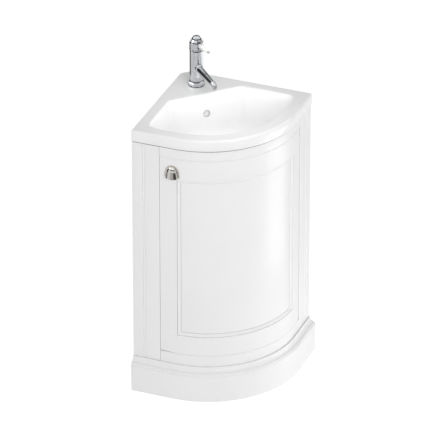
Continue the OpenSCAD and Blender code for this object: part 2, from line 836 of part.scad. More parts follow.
module lever_hub() color("silver") {
    at_hub() rotate([90, 0, 0]) {
        cylinder(r = 7, h = 20, center = true);
        cylinder(r = lever_pin_r, h = 2 * tap_r - 1, center = true);
    }
    along_lever(0) cylinder(r = stem_r, h = handle_x + 6);
}

module lever_collar() color("silver") along_lever(collar_x) difference() {
    rotate_extrude() polygon([[0, 0], [6, 0], [7.5, 2], [7.5, 6], [6.4, collar_l], [0, collar_l]]);
    translate([0, 0, -collar_l]) cylinder(r = stem_r + fit, h = 3 * collar_l);
}

module lever_handle() color("white") along_lever(handle_x) difference() {
    union() {
        cylinder(r1 = 6.5, r2 = 7.6, h = handle_l / 3);
        translate([0, 0, handle_l / 3]) cylinder(r1 = 7.6, r2 = 4.8, h = 2 * handle_l / 3);
    }
    translate([0, 0, -handle_l]) cylinder(r = stem_r + fit, h = handle_l + 6);
}

module lever_tip() color("silver") along_lever(handle_x + handle_l) {
    cylinder(r = 3.6, h = 2);
    translate([0, 0, 5]) intersection() {
        sphere(4.6);
        translate([-5, -5, -4]) cube(10);
    }
}

// ---- waste and trap ----

module at_waste(z = 0) on_diagonal(waste_s) translate([0, 0, z]) children();

module waste_body() color("silver") at_waste() difference() {
    union() {
        translate([0, 0, waste_low]) cylinder(r = waste_r, h = bowl_z - waste_low);
        translate([0, 0, bowl_z]) cylinder(r1 = flange_r, r2 = flange_r - 3, h = flange_t);
    }
    difference() {
        translate([0, 0, waste_low - 1]) cylinder(r = waste_r - waste_wall, h = big);
        translate([0, 0, guide_z]) cylinder(r = waste_r, h = guide_h);
    }
    translate([0, 0, guide_z - guide_h]) cylinder(r = guide_r + run, h = 3 * guide_h);
    for (turn = [0:90:270]) rotate([0, 0, turn]) translate([10.3, 0, guide_z - guide_h])
        cylinder(r = 4, h = 3 * guide_h);
}

module waste_seal() color("dimgray") at_waste(seal_z) difference() {
    cylinder(r = flange_r, h = seal_t);
    translate([0, 0, -seal_t]) cylinder(r = waste_r + fit, h = 3 * seal_t);
}

module waste_nut() color("silver") at_waste(seal_z - waste_nut_h) difference() {
    cylinder(r = flange_r, h = waste_nut_h, $fn = 6);
    translate([0, 0, -waste_nut_h]) cylinder(r = waste_r + fit, h = 3 * waste_nut_h);
}

module waste_plug() color("silver") at_waste(plug_low) {
    cylinder(r1 = flange_r - 3, r2 = flange_r - 5, h = 2);
    translate([0, 0, 2]) cylinder(r1 = flange_r - 5, r2 = flange_r - 14, h = 2.5);
    translate([0, 0, guide_z - plug_low - guide_h - plug_travel])
        cylinder(r = guide_r, h = plug_low - guide_z + guide_h + plug_travel + 1);
}

module trap_nut() color("white") at_waste(waste_low) difference() {
    cylinder(r = waste_r + 6, h = trap_nut_h);
    translate([0, 0, -trap_nut_h]) cylinder(r = waste_r + fit, h = 3 * trap_nut_h);
}

module trap_body() color("white") at_waste() difference() {
    union() {
        translate([0, 0, outlet_z - body_drop]) cylinder(r = trap_r, h = body_rise + body_drop);
        translate([0, 0, outlet_z]) rotate([0, 0, 45]) rotate([-90, 0, 0])
            cylinder(r = outlet_r + 5, h = trap_r + boss_l);
        translate([0, 0, trap_top]) cylinder(r = waste_r + 4, h = waste_low - trap_top - fit);
    }
    translate([0, 0, outlet_z - body_drop - 1])
        cylinder(r = trap_r - trap_wall, h = body_rise + body_drop + 1 - trap_wall);
    translate([0, 0, trap_top - 2 * trap_wall]) cylinder(r = waste_r - waste_wall, h = big);
    translate([0, 0, outlet_z]) rotate([0, 0, 45]) rotate([-90, 0, 0])
        cylinder(r = outlet_r - pipe_step + fit, h = big);
}

module trap_bottle() color("white") at_waste() difference() {
    union() {
        translate([0, 0, bottle_top]) cylinder(r = trap_r + 4, h = trap_rim_h - fit);
        translate([0, 0, trap_low + trap_foot_h])
            cylinder(r = trap_r, h = bottle_top - trap_low - trap_foot_h);
        translate([0, 0, trap_low]) cylinder(r1 = trap_r - trap_foot_h, r2 = trap_r, h = trap_foot_h);
    }
    translate([0, 0, trap_low + trap_foot_h]) cylinder(r = trap_r - trap_wall, h = big);
    translate([0, 0, trap_low + trap_wall]) cylinder(r1 = trap_r - trap_foot_h - trap_wall,
        r2 = trap_r - trap_wall, h = trap_foot_h - trap_wall + 0.01);
}

module trap_outlet_nut() color("white") at_waste(outlet_z) rotate([0, 0, 45]) rotate([-90, 0, 0])
    translate([0, 0, trap_r + boss_l]) difference() {
        cylinder(r = outlet_r + 8, h = outlet_nut_h);
        translate([0, 0, -outlet_nut_h])
            cylinder(r = outlet_r - pipe_step + fit, h = 3 * outlet_nut_h);
    }

module trap_outlet() color("white") at_waste(outlet_z) rotate([0, 0, 45]) rotate([-90, 0, 0])
    difference() {
        union() {
            translate([0, 0, trap_r + pipe_in])
                cylinder(r = outlet_r - pipe_step, h = pipe_free - trap_r);
            translate([0, 0, pipe_free]) cylinder(r = outlet_r, h = waste_u - outlet_end - pipe_free);
        }
        cylinder(r = outlet_r - pipe_step - 2, h = waste_u);
    }

at_origin() {
    side_panel_left();
    side_panel_right();
    corner_frame();
    base_panel();
    shelf();
    shelf_pegs();
    stiles();
    front_rails();
    plinth_board();
    plinth_moulding();
    cabinet_screws();
    door_stop();
    magnet_catch();
    pivot_pins();
    pivot_washer();
    door_stile_hinge();
    door_stile_knob();
    door_rails();
    door_panel();
    door_moulding();
    pivot_bushes();
    strike_plate();
    knob();
    knob_plate();
    knob_screw();
    basin_floor();
    basin_deck();
    basin_back();
    basin_sides();
    basin_front_left();
    basin_front_middle_left();
    basin_front_middle_right();
    basin_front_right();
    overflow_ring();
    tap_gasket();
    tap_foot();
    tap_barrel();
    tap_ring();
    tap_cartridge();
    tap_spout();
    tap_aerator();
    tap_stud();
    tap_clamp_pad();
    tap_clamp();
    tap_nut();
    tap_cap();
    tap_finial();
    lever_hub();
    lever_collar();
    lever_handle();
    lever_tip();
    waste_body();
    waste_seal();
    waste_nut();
    waste_plug();
    trap_nut();
    trap_body();
    trap_bottle();
    trap_outlet_nut();
    trap_outlet();
}
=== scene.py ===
# %% [markdown]
# # A corner vanity unit
# The unit is a painted cabinet with a bowed door, a glazed corner basin, and a lever mixer tap.
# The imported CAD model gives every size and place. This lesson dresses it: it loads the model, makes a
# finer skin for what shows, and gives each material the grain, gloss and colour of the real one.

import json
import math

import bpy
import numpy as np
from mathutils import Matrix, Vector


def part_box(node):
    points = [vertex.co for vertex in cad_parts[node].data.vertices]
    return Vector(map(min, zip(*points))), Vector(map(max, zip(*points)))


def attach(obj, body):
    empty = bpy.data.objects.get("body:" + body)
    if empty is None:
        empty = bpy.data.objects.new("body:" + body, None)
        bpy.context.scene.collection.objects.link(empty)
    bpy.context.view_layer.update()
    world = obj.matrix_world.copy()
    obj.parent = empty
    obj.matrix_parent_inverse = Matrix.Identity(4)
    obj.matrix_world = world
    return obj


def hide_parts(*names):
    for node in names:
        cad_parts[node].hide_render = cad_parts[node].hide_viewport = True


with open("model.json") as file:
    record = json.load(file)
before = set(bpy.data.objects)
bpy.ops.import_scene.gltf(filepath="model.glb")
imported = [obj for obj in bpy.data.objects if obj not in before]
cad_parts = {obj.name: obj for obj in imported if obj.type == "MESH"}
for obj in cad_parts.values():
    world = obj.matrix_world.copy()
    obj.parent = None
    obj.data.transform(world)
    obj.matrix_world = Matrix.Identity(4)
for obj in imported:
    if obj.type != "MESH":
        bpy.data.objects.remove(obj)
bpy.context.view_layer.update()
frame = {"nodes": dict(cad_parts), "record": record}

# %% [markdown]
# ## Where the room corner is
# The unit stands in a room corner, and everything about it is easiest to say from there. One could
# work in the model's own metres, but a maker measures along each wall in millimetres. So the shapes
# below are written that way, and one function moves them into the model's frame.

# %% Millimetres from the room corner
CORNER = np.array([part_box("side_panel_left")[0].x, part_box("side_panel_right")[1].y, 0.0])
DIAGONAL = np.array([1.0, -1.0, 0.0]) / math.sqrt(2)
UP = np.array([0.0, 0.0, 1.0])


def place(points):
    """Metres in the model's frame: the room corner plus a thousandth of each millimetre."""
    return CORNER + np.asarray(points, float) / 1000


def room(u, v, z):
    """Points u millimetres out along the right-hand wall, v along the left-hand wall and z up."""
    u, v, z = np.broadcast_arrays(u, v, z)
    return place(np.stack([u, -v, z], axis=-1))


print("room corner at", CORNER.round(4))

# %% [markdown]
# ## The line of the front
# The front runs straight from the left-hand wall, bows round a quarter circle, and runs straight to
# the right-hand wall. A curve object could hold that line. A formula is shorter and exact: a distance
# s along the face gives the turn, and the turn gives the place.

# %% The bowed front
FLAT = 140.0  # straight length at each end
BOW = 290.0  # radius of the curve
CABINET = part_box("side_panel_left")[1].z * 1000
FACE_LENGTH = 2 * FLAT + BOW * math.pi / 2


def front(s, out, z):
    """A point s along the cabinet's face from the left-hand wall, out from the face, at height z.

    The turn is the distance past the first straight part, divided by the radius, and stays between
    nothing and a right angle. The sine and cosine of the turn, times radius plus out, go round the
    bow, and what is left of s past the bow runs back to the right-hand wall.
    """
    s, out, z = np.broadcast_arrays(s, out, z)
    turn = np.clip((s - FLAT) / BOW, 0, math.pi / 2)
    past = np.maximum(s - FLAT - BOW * math.pi / 2, 0)
    u = np.minimum(s, FLAT) + (BOW + out) * np.sin(turn)
    v = FLAT - past + (BOW + out) * np.cos(turn)
    return room(u, v, z)


print("face length", round(FACE_LENGTH, 1), "mm, cabinet height", round(CABINET, 1), "mm")

# %% [markdown]
# ## Skins from stacks of outlines
# Almost every piece here is a stack of closed outlines with a skin over them: a board is one outline
# carried along the front, a tap is circles, a basin is outlines that shrink into a bowl. Blender has
# tools for each, such as Screw and Curve bevels. One function over numpy arrays does them all, and
# keeps every point where the formula puts it.

# %% Skin a stack of outlines
def skin(rings, joined=False):
    """Faces over rings[k, n, 3]: each point joins its neighbour and the two points in the next ring.

    If joined is true the last ring joins the first. If not, a flat face closes each end. The faces
    are turned over if the volume that they enclose, a sum of corner products, comes out negative.
    """
    count, around = rings.shape[:2]
    index = np.arange(count * around).reshape(count, around)
    rows = np.concatenate([index, index[:1]]) if joined else index
    one, two = rows[:-1], rows[1:]
    quads = np.stack([one, np.roll(one, -1, 1), np.roll(two, -1, 1), two], -1).reshape(-1, 4)
    points = rings.reshape(-1, 3)
    a, b, c, d = (points[quads[:, i]] - points.mean(0) for i in range(4))
    volume = (np.cross(b - a, c - a) * a).sum() + (np.cross(c - a, d - a) * a).sum()
    faces = quads.tolist()
    if not joined:
        faces += [index[0][::-1].tolist(), index[-1].tolist()]
    if volume < 0:
        faces = [face[::-1] for face in faces]
    return points, faces


def add_object(name, data):
    """A new object that shows the data, linked into the scene."""
    thing = bpy.data.objects.new(name, data)
    bpy.context.scene.collection.objects.link(thing)
    return thing


def make(name, skins, finish, body, stands_for=(), sharp=40):
    """One object out of several skins, in its finish, riding on its body.

    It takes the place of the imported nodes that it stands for. Edges over sharp degrees stay crisp.
    """
    mesh = bpy.data.meshes.new(name)
    points, faces, start = [], [], 0
    for skin_points, skin_faces in skins:
        points.append(skin_points)
        faces += [[i + start for i in face] for face in skin_faces]
        start += len(skin_points)
    mesh.from_pydata(np.concatenate(points).tolist(), [], faces)
    mesh.shade_smooth()
    mesh.set_sharp_from_angle(angle=math.radians(sharp))
    piece = add_object(name, mesh)
    mesh.materials.append(finish["material"])
    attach(piece, body)
    if stands_for:
        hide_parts(*stands_for)
    print(f"{name}: {len(mesh.polygons)} faces")
    return piece


# %% [markdown]
# Nothing that is sanded, cast or turned has a knife edge: the rounded corner catches the light, and
# that thin line of light is what makes a model look made. A Bevel modifier could do it. Rounding the
# outline before it is carried gives the same line with no modifier.

# %% Round the corners of an outline
def soften(corners, cut, steps=4):
    """Each corner becomes a parabola that leaves one side, and meets the next, a distance cut away.

    The parabola is (1-t)^2 of its start plus 2t(1-t) of the corner plus t^2 of its end.
    """
    corners = np.asarray(corners, float)
    cut = np.asarray(cut, float)

    def reach(side):
        length = np.maximum(np.linalg.norm(side, axis=-1, keepdims=True), 1e-9)
        return (corners + side * np.minimum(cut / length, 0.49))[..., None, :]

    start = reach(np.roll(corners, 1, -2) - corners)
    end = reach(np.roll(corners, -1, -2) - corners)
    t = np.linspace(0, 1, steps + 1)[:, None]
    curve = (1 - t) ** 2 * start + 2 * t * (1 - t) * corners[..., None, :] + t**2 * end
    return curve.reshape(*corners.shape[:-2], -1, 2)


def eased_ends(start, end, ease, steps):
    """Places from start to end with a quarter circle of radius ease at both, and the inset there."""
    a = np.linspace(0, math.pi / 2, 4)
    run = ease * (1 - np.cos(a))
    inset = ease * (1 - np.sin(a))
    middle = np.linspace(start + ease, end - ease, steps)[1:-1]
    places = np.concatenate([start + run, middle, (end - run)[::-1]])
    return places, np.concatenate([inset, np.zeros(len(middle)), inset[::-1]])


def board(s_from, s_to, near, far, low, high, ease=0.8, steps=96):
    """A board bent along the front: a rounded rectangle from far to near and low to high, carried
    along the face line, that shrinks by its rounding at both ends."""
    s, inset = eased_ends(s_from, s_to, ease, steps)
    out = np.stack([near - inset, far + inset, far + inset, near - inset], 1)
    z = np.stack([low + inset, low + inset, high - inset, high - inset], 1)
    outline = soften(np.stack([out, z], -1), ease)
    return skin(front(s[:, None], outline[..., 0], outline[..., 1]))


def spin(profile, base, axis, around=72, sides=0, faceted=0.0, joined=False):
    """A turned piece: the profile's (radius, height) points carried round an axis from its base.

    With sides, the radius at each angle shrinks towards that of a regular polygon, which is the
    cosine of half a side's angle over the cosine of the angle from the side's middle.
    """
    profile = np.asarray(profile, float)
    axis = np.asarray(axis, float) / np.linalg.norm(axis)
    across = np.cross(axis, [0.0, 1.0, 0.0] if abs(axis[1]) < 0.9 else [1.0, 0.0, 0.0])
    across /= np.linalg.norm(across)
    beside = np.cross(axis, across)
    angle = np.linspace(0, 2 * math.pi, around, endpoint=False)[None, :, None]
    radius = profile[:, 0][:, None, None] * np.ones_like(angle)
    if sides:
        half = math.pi / sides
        polygon = math.cos(half) / np.cos(np.mod(angle, 2 * half) - half)
        radius = radius * (1 - np.asarray(faceted, float).reshape(-1, 1, 1) * (1 - polygon))
    rings = radius * (np.cos(angle) * across + np.sin(angle) * beside)
    return skin(place(np.asarray(base, float) + profile[:, 1][:, None, None] * axis + rings), joined)


def rounded(profile, cut, steps=4):
    """A profile whose inner corners are softened, with its first and last points kept."""
    profile = np.asarray(profile, float)
    loop = soften(profile, cut, steps).reshape(len(profile), steps + 1, 2)
    return np.concatenate([profile[:1], loop[1:-1].reshape(-1, 2), profile[-1:]])


print("helpers ready")

# %% [markdown]
# ## Camera
# The photograph looks down at the unit from in front and a little to the right, with a long lens, so
# that its uprights stay nearly parallel. The camera stands where those lines say it stood. A picture
# shift could centre the view, but turning the camera slightly does so in other views as well.

# %% Set the camera
AZIMUTH, ELEVATION, DISTANCE = math.radians(21.36), math.radians(29.75), 16.0
LENS, SENSOR = 416.6, 36.0  # millimetres
AIM_LEFT, AIM_UP = 0.0074, 0.0962  # metres from the unit's middle, which centre the view
MIDDLE = place([215, -215, 430])


def heading(azimuth, elevation):
    """The direction at an angle round from the front towards the right, and an angle up."""
    return np.array([math.sin(azimuth) * math.cos(elevation),
                     -math.cos(azimuth) * math.cos(elevation), math.sin(elevation)])


outwards = heading(AZIMUTH, ELEVATION)
right = np.array([math.cos(AZIMUTH), math.sin(AZIMUTH), 0.0])
above = np.cross(outwards, right)
stand = MIDDLE + outwards * DISTANCE
aim = MIDDLE - right * AIM_LEFT + above * AIM_UP

camera = add_object("camera", bpy.data.cameras.new("camera"))
bpy.context.scene.camera = camera
camera.data.lens = LENS
camera.data.sensor_width = SENSOR
camera.data.clip_end = 100.0
camera.location = stand
x, y, z = aim - stand
camera.rotation_euler = (math.atan2(math.hypot(x, y), -z), 0.0, math.atan2(-x, y))
print("camera at", stand.round(3))

# %% [markdown]
# ## Colour and nodes
# A colour is written as the hex value that a paint chart gives. Blender mixes light in linear values,
# so one function converts it. One more adds a node with its settings and links. One call could paste
# a whole material, but a reader who wants a new finish needs its parts.

# %% Colour and node helpers
def colour(code):
    """Linear red, green, blue and alpha of an sRGB hex value."""
    part = np.array([int(code[i : i + 2], 16) for i in (1, 3, 5)]) / 255
    linear = np.where(part <= 0.04045, part / 12.92, ((part + 0.055) / 1.055) ** 2.4)
    return (*linear.tolist(), 1.0)


def grey(level):
    """An opaque grey at a linear level."""
    return (level, level, level, 1.0)


def add(tree, kind, inputs=None, stops=(), **settings):
    """A new node with its settings and links.

    An input goes by its name, or by its number where names are alike. It is a value, a socket, or a
    node, whose first live output is linked. A ramp runs straight between its stops, each a place
    from 0 to 1 and a grey level.
    """
    node = tree.nodes.new(kind)
    for key, value in settings.items():
        setattr(node, key, value)
    for key, value in (inputs or {}).items():
        live = [s for s in node.inputs if s.name == key and s.enabled]
        socket = live[0] if live else node.inputs[key]
        if isinstance(value, bpy.types.Node):
            value = next(s for s in value.outputs if s.enabled)
        if isinstance(value, bpy.types.NodeSocket):
            tree.links.new(value, socket)
        else:
            socket.default_value = value
    if stops:
        elements = node.color_ramp.elements
        elements[0].position, elements[1].position = stops[0][0], stops[-1][0]
        for position, _ in stops[1:-1]:
            elements.new(position)
        for element, (_, level) in zip(elements, stops):
            element.color = grey(level)
    return node


def wire(tree, surface, **sources):
    """Links nodes to the inputs of a surface: Base_Color=node goes to its Base Color."""
    for key, node in sources.items():
        output = next(s for s in node.outputs if s.enabled)
        tree.links.new(output, surface.inputs[key.replace("_", " ")])


def start_material(name):
    """A material with a principled surface, and the object's own coordinates in metres."""
    material = bpy.data.materials.new(name)
    material.use_nodes = True
    tree = material.node_tree
    tree.nodes.clear()
    surface = add(tree, "ShaderNodeBsdfPrincipled")
    add(tree, "ShaderNodeOutputMaterial", {"Surface": surface.outputs["BSDF"]})
    where = add(tree, "ShaderNodeTexCoord").outputs["Object"]
    return material, tree, surface, where


def per_mm(size):
    """Texture scale, in waves a metre, of a pattern that repeats every size millimetres."""
    return 1000.0 / size


def drifting(name, slot, tones, drift, gloss, bumps, **fixed):
    """A finish whose tone and roughness drift together, over a bump.

    Both drift with one noise, given by its width in millimetres and its detail, between two tones
    and between two roughnesses. The bump is a second noise, with its depth in metres and strength.
    """
    material, tree, surface, where = start_material(name)
    width, detail = drift
    haze = add(tree, "ShaderNodeTexNoise", {"Vector": where, "Scale": per_mm(width), "Detail": detail})
    one, two = (colour(code) for code in tones)
    tone = add(tree, "ShaderNodeMix", {"Factor": haze, "A": one, "B": two}, data_type="RGBA")
    rough = add(tree, "ShaderNodeMapRange", {"Value": haze, "To Min": gloss[0], "To Max": gloss[1]})
    width, detail, depth, strength = bumps
    waves = add(tree, "ShaderNodeTexNoise", {"Vector": where, "Scale": per_mm(width), "Detail": detail})
    bump = add(tree, "ShaderNodeBump", {"Height": waves, "Distance": depth, "Strength": strength})
    wire(tree, surface, Base_Color=tone, Roughness=rough, Normal=bump)
    for key, value in fixed.items():
        surface.inputs[key].default_value = value
    return {"material": material, "slot": slot}


# %% [markdown]
# ## Sprayed satin paint
# The cabinet is fibreboard under a sprayed satin paint. Spraying leaves a very shallow orange peel,
# and the board behind a bowed door is never quite even, so that highlights wander a little. A bump of
# two noises gives that, and a faint change of tone keeps the large faces from looking like plastic.
# Real peel repeats every 2 or 3 mm, finer than a pixel here, so it is drawn about 9 mm wide.

# %% Paint
material, tree, surface, where = start_material("sprayed satin paint on fibreboard")
drift = add(tree, "ShaderNodeTexNoise", {"Vector": where, "Scale": per_mm(160), "Detail": 3.0})
tone = add(tree, "ShaderNodeMix", {"Factor": drift, "A": colour("#F5F5F5"), "B": colour("#F0F0F0")},
           data_type="RGBA")
peel = add(tree, "ShaderNodeTexNoise", {"Vector": where, "Scale": per_mm(9), "Detail": 2.0})
rough = add(tree, "ShaderNodeMapRange", {"Value": peel, "To Min": 0.22, "To Max": 0.29})
uneven = add(tree, "ShaderNodeTexNoise", {"Vector": where, "Scale": per_mm(110), "Detail": 1.0})
slow = add(tree, "ShaderNodeBump", {"Height": uneven, "Distance": 0.0010, "Strength": 0.5})
fine = add(tree, "ShaderNodeBump", {"Height": peel, "Distance": 0.00006, "Strength": 0.8,
                                    "Normal": slow})
wire(tree, surface, Base_Color=tone, Roughness=rough, Normal=fine)
paint = {"material": material, "slot": "painted_board"}

# %% [markdown]
# ## Faced board
# The carcass inside is chipboard with a white melamine face, pressed on a lightly textured plate. It
# could be plain white, but its face is duller than paint, a touch warmer, and has a fine pebble that
# breaks up every reflection. The pebble is under a millimetre on the real board and is drawn at 4.

# %% Faced board
material, tree, surface, where = start_material("melamine faced chipboard")
flecks = add(tree, "ShaderNodeTexNoise", {"Vector": where, "Scale": per_mm(70), "Detail": 6.0})
tone = add(tree, "ShaderNodeMix", {"Factor": flecks, "A": colour("#EDECE8"), "B": colour("#E4E2DD")},
           data_type="RGBA")
rough = add(tree, "ShaderNodeMapRange", {"Value": flecks, "To Min": 0.42, "To Max": 0.55})
pebble = add(tree, "ShaderNodeTexVoronoi", {"Vector": where, "Scale": per_mm(4)},
             feature="SMOOTH_F1")
bump = add(tree, "ShaderNodeBump", {"Height": pebble, "Distance": 0.00008, "Strength": 0.7})
wire(tree, surface, Base_Color=tone, Roughness=rough, Normal=bump)
board_face = {"material": material, "slot": "lacquered_carcass"}

# %% [markdown]
# ## Vitreous china
# The basin is slip-cast china with a clear white glaze fired over it. Glaze levels itself like honey,
# so it is nearly a mirror, but it follows the casting's long soft waves. The body under it is a trace
# grey where the glaze is thin. A clear coat over a matt body could draw the two layers. The glaze is so
# thin that one glossy surface with a slow bump looks the same, and renders faster.

# %% Glaze
china, porcelain = (
    drifting(name, slot, tones, (90, 2.0), (0.06, 0.11), (45, 1.0, 0.0004, 0.4), IOR=1.52)
    for name, slot, tones in [
        ("white glaze on vitreous china", "glazed_basin", ("#F8F8F8", "#F5F5F5")),
        ("white glaze on porcelain", "white_ceramic", ("#FEFEFD", "#FBFBF9"))])

# %% [markdown]
# ## Plated metals
# The tap is brass under chrome, polished before plating, and the knob is polished nickel, which is
# warmer. Plating is never perfectly clean: hands and drying water leave a thin haze that scatters a
# little. The haze is a noise in the roughness, and the polisher's wheel leaves a shallow ripple.

# %% Chrome, nickel, zinc and brass
chrome, nickel, zinc, brass = (
    drifting(name, slot, tones, (18, 4.0), gloss, (*ripple, 0.5), Metallic=1.0)
    for name, slot, tones, gloss, ripple in [
        ("polished chrome plate", "chrome", ("#D3D5D8", "#C9CBCE"), (0.03, 0.09), (14, 2.0, 0.00006)),
        ("polished nickel plate", "nickel", ("#E3E1DC", "#D6D3CC"), (0.05, 0.12), (11, 2.0, 0.00005)),
        ("zinc plated steel", "zinc_steel", ("#C3C6CA", "#A9ACB0"), (0.28, 0.45), (3, 2.0, 0.00008)),
        ("turned brass", "brass", ("#D8B66C", "#B8924C"), (0.22, 0.40), (2, 2.0, 0.00006))])

# %% [markdown]
# ## Plastic and rubber
# The trap is moulded polypropylene with a slight bloom from the mould. The gaskets are black rubber,
# matt, with a dusty grain. Both are a noise in tone and roughness, over a bump at their own scales.

# %% Moulded plastic and rubber
plastic = drifting("white polypropylene", "white_plastic", ("#F0F0EE", "#E2E2DF"), (25, 5.0),
                   (0.35, 0.50), (3.0, 2.0, 0.0001, 0.4), IOR=1.49)
# The same black also paints shade into the tap's grooves and under the basin's edge, besides the real
# gaskets
rubber_and_shade = drifting("black rubber", "black_rubber", ("#2A2A2A", "#171717"), (25, 5.0), (0.60, 0.80),
                  (1.5, 2.0, 0.0001, 0.4), IOR=1.49)

# %% [markdown]
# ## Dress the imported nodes
# The shelf, battens, trap and fixings have the right shape as they came, and each keeps its mesh. The
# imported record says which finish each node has, so the new materials go on by that name.

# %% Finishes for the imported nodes
finishes = {f["slot"]: f["material"]
            for f in (paint, board_face, china, porcelain, chrome, nickel, zinc, brass, plastic,
                      rubber_and_shade)}
slot_of = {part["node"]: part["material_slot"] for part in frame["record"]["subparts"]}
for node_name, node in frame["nodes"].items():
    node.data.materials.clear()
    node.data.materials.append(finishes[slot_of[node_name]])
print(len(slot_of), "nodes dressed in", len(set(slot_of.values())), "finishes")

# %% [markdown]
# ## The face frame
# Two uprights stand beside the door, each with a bead run between two small grooves, and a curved
# rail closes the top and the bottom. They are made as a joiner makes them: the upright is one outline
# carried straight up, and a rail is a board bent along the front. A painted line could mark their
# joints. Eased edges draw it as the real ones do, and at the left, where the photograph shows it
# darker, the joint is a little open.

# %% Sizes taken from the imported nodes
def reach(node):
    """A node's least and greatest u, v and z, in millimetres from the room corner."""
    low, high = (np.array(corner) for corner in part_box(node))
    a, b = (low - CORNER) * 1000, (high - CORNER) * 1000
    return (a[0], b[0]), (-b[1], -a[1]), (a[2], b[2])


DOOR_U, _, DOOR_Z = reach("door_stile_knob")
THICK, GAP, JOINT = 18.0, 3.0, 0.8
STILE = DOOR_U[0] - GAP
RAIL_TOP = (DOOR_Z[1] + GAP, CABINET)
RAIL_LOW = (reach("front_rails")[2][0], DOOR_Z[0] - GAP)
print("upright", round(STILE, 1), "mm wide, rails", np.round(RAIL_TOP + RAIL_LOW, 1))

# %% Uprights and rails
def upright(outline, low, high, mirrored=False):
    """An outline of (along the face, out from the face) points carried from low to high."""
    along, out = np.asarray(outline).T
    z = np.array([low, high])[:, None]
    v = FLAT + BOW + out
    return skin(room(v, along, z) if mirrored else room(along, v, z))


bead = [(0, -THICK), (0, 0), (32.0, 0), (33.6, -2.4), (35.2, -0.5), (37.5, 0), (39.8, -0.5),
        (41.4, -2.4), (43.0, 0), (STILE, 0), (STILE, -THICK)]
bead_cut = np.array([[0.5], [1.2], [0.6], [0.5], [1], [1], [1], [0.5], [0.6], [1.4], [0.5]])
stile_outline = soften(bead, bead_cut)
make("uprights", [upright(stile_outline, 0.3, CABINET - 0.3, mirrored) for mirrored in (False, True)],
     paint, "cabinet", ["stiles"])
make("rails", [board(STILE + JOINT, FACE_LENGTH - STILE, 0, -THICK, *heights, ease=1.0)
               for heights in (RAIL_TOP, RAIL_LOW)], paint, "cabinet", ["front_rails"])

# %% [markdown]
# ## The plinth
# The plinth is a bent board with a moulding planted on top: a thin step, a hollow, and a bead that
# hangs over the board. A router cuts it in one pass, so it is one profile carried from wall to wall.

# %% Plinth board and moulding
def carry(outline, s_from, s_to, steps=128):
    """A closed outline of (out, height) points carried along the face line."""
    s = np.linspace(s_from, s_to, steps)[:, None]
    out, z = np.asarray(outline).T
    return skin(front(s, out, z))


LOW, HIGH = reach("plinth_moulding")[2]
PLINTH_OUT = reach("plinth_board")[0][1] - FLAT - BOW
hollow = np.radians(np.linspace(180, 270, 12))
nose = np.radians(np.linspace(90, -90, 14))
plinth_profile = np.concatenate([
    [(0.1, LOW + 0.1), (0.1, HIGH - 4), (1.5, HIGH - 4),
     (1.6, HIGH - 0.4), (2.1, HIGH), (5.2, HIGH), (6, HIGH - 0.8)],
    np.stack([20.5 + 14.5 * np.cos(hollow), HIGH - 3 + 14 * np.sin(hollow)], 1),
    [(20.5, LOW + 8)],
    np.stack([20.5 + 3.4 * np.cos(nose), LOW + 3.6 + 3.4 * np.sin(nose)], 1),
])
make("plinth_cornice", [carry(plinth_profile, 0.2, FACE_LENGTH - 0.2)], paint, "cabinet",
     ["plinth_moulding"], sharp=32)
make("plinth_front", [board(0.2, FACE_LENGTH - 0.2, PLINTH_OUT, 0, 0, LOW, ease=1.5)], paint,
     "cabinet", ["plinth_board"])
print("plinth stands", round(PLINTH_OUT, 1), "mm out")

# %% [markdown]
# ## The door
# The door is a frame with a thin panel let into it, and a moulding mitred round the opening. A frame
# could be four boards, but painted over they read as one, so it is one skin: each point of the
# section draws its own rectangle on the bowed face, from the door's edge in to the opening. The
# hinge edge is a half round, centred on the pivots, so that it can turn beside the upright.

# %% Frames on the bowed face
PIVOT_U = FLAT + BOW - THICK / 2
PIVOT_V = STILE + GAP + THICK / 2
LOW_RAIL, HIGH_RAIL, EDGE = 64.0, 68.0, 55.0  # widths of the door's frame as its section is drawn
DROP, DROP_FROM, DROP_RUN = 2.6, 52.0, 30.0  # how far the corner gapes, and where along the edge
WINDOW = np.array([DOOR_U[1], FACE_LENGTH - DOOR_U[1], DOOR_Z[0] + LOW_RAIL, DOOR_Z[1] - HIGH_RAIL])
DOOR = np.array([STILE + 1.2, FACE_LENGTH - PIVOT_V, DOOR_Z[0] - 2.5, DOOR_Z[1] + 2.4])
level = np.linspace(0, 1, 120, endpoint=False)
rise = np.linspace(0, 1, 12, endpoint=False)
ACROSS = np.concatenate([level, np.ones(12), 1 - level, np.zeros(12)])
UPWARDS = np.concatenate([np.zeros(120), rise, np.ones(120), 1 - rise])


def bowed_frame(edges, out, slack=None):
    """Rectangles on the bowed face, one a row of edges (two along the face, two in height).

    Each goes round once: along the bottom, up, back along the top and down. Its place is its first
    edge plus the share of the way across, and the same in height. A slack lifts the bottom edge
    towards the knob's end, where a door that has dropped a little on its pivots gapes.
    """
    s0, s1, z0, z1 = (edges[:, i, None] for i in range(4))
    s = s0 + ACROSS * (s1 - s0)
    z = z0 + UPWARDS * (z1 - z0)
    if slack is not None:
        near_knob = np.clip((s - STILE - DROP_FROM) / -DROP_RUN, 0, 1)
        z = z + slack * (1 - UPWARDS) * near_knob**1.5
    return skin(front(s, np.asarray(out)[:, None], z), joined=True)


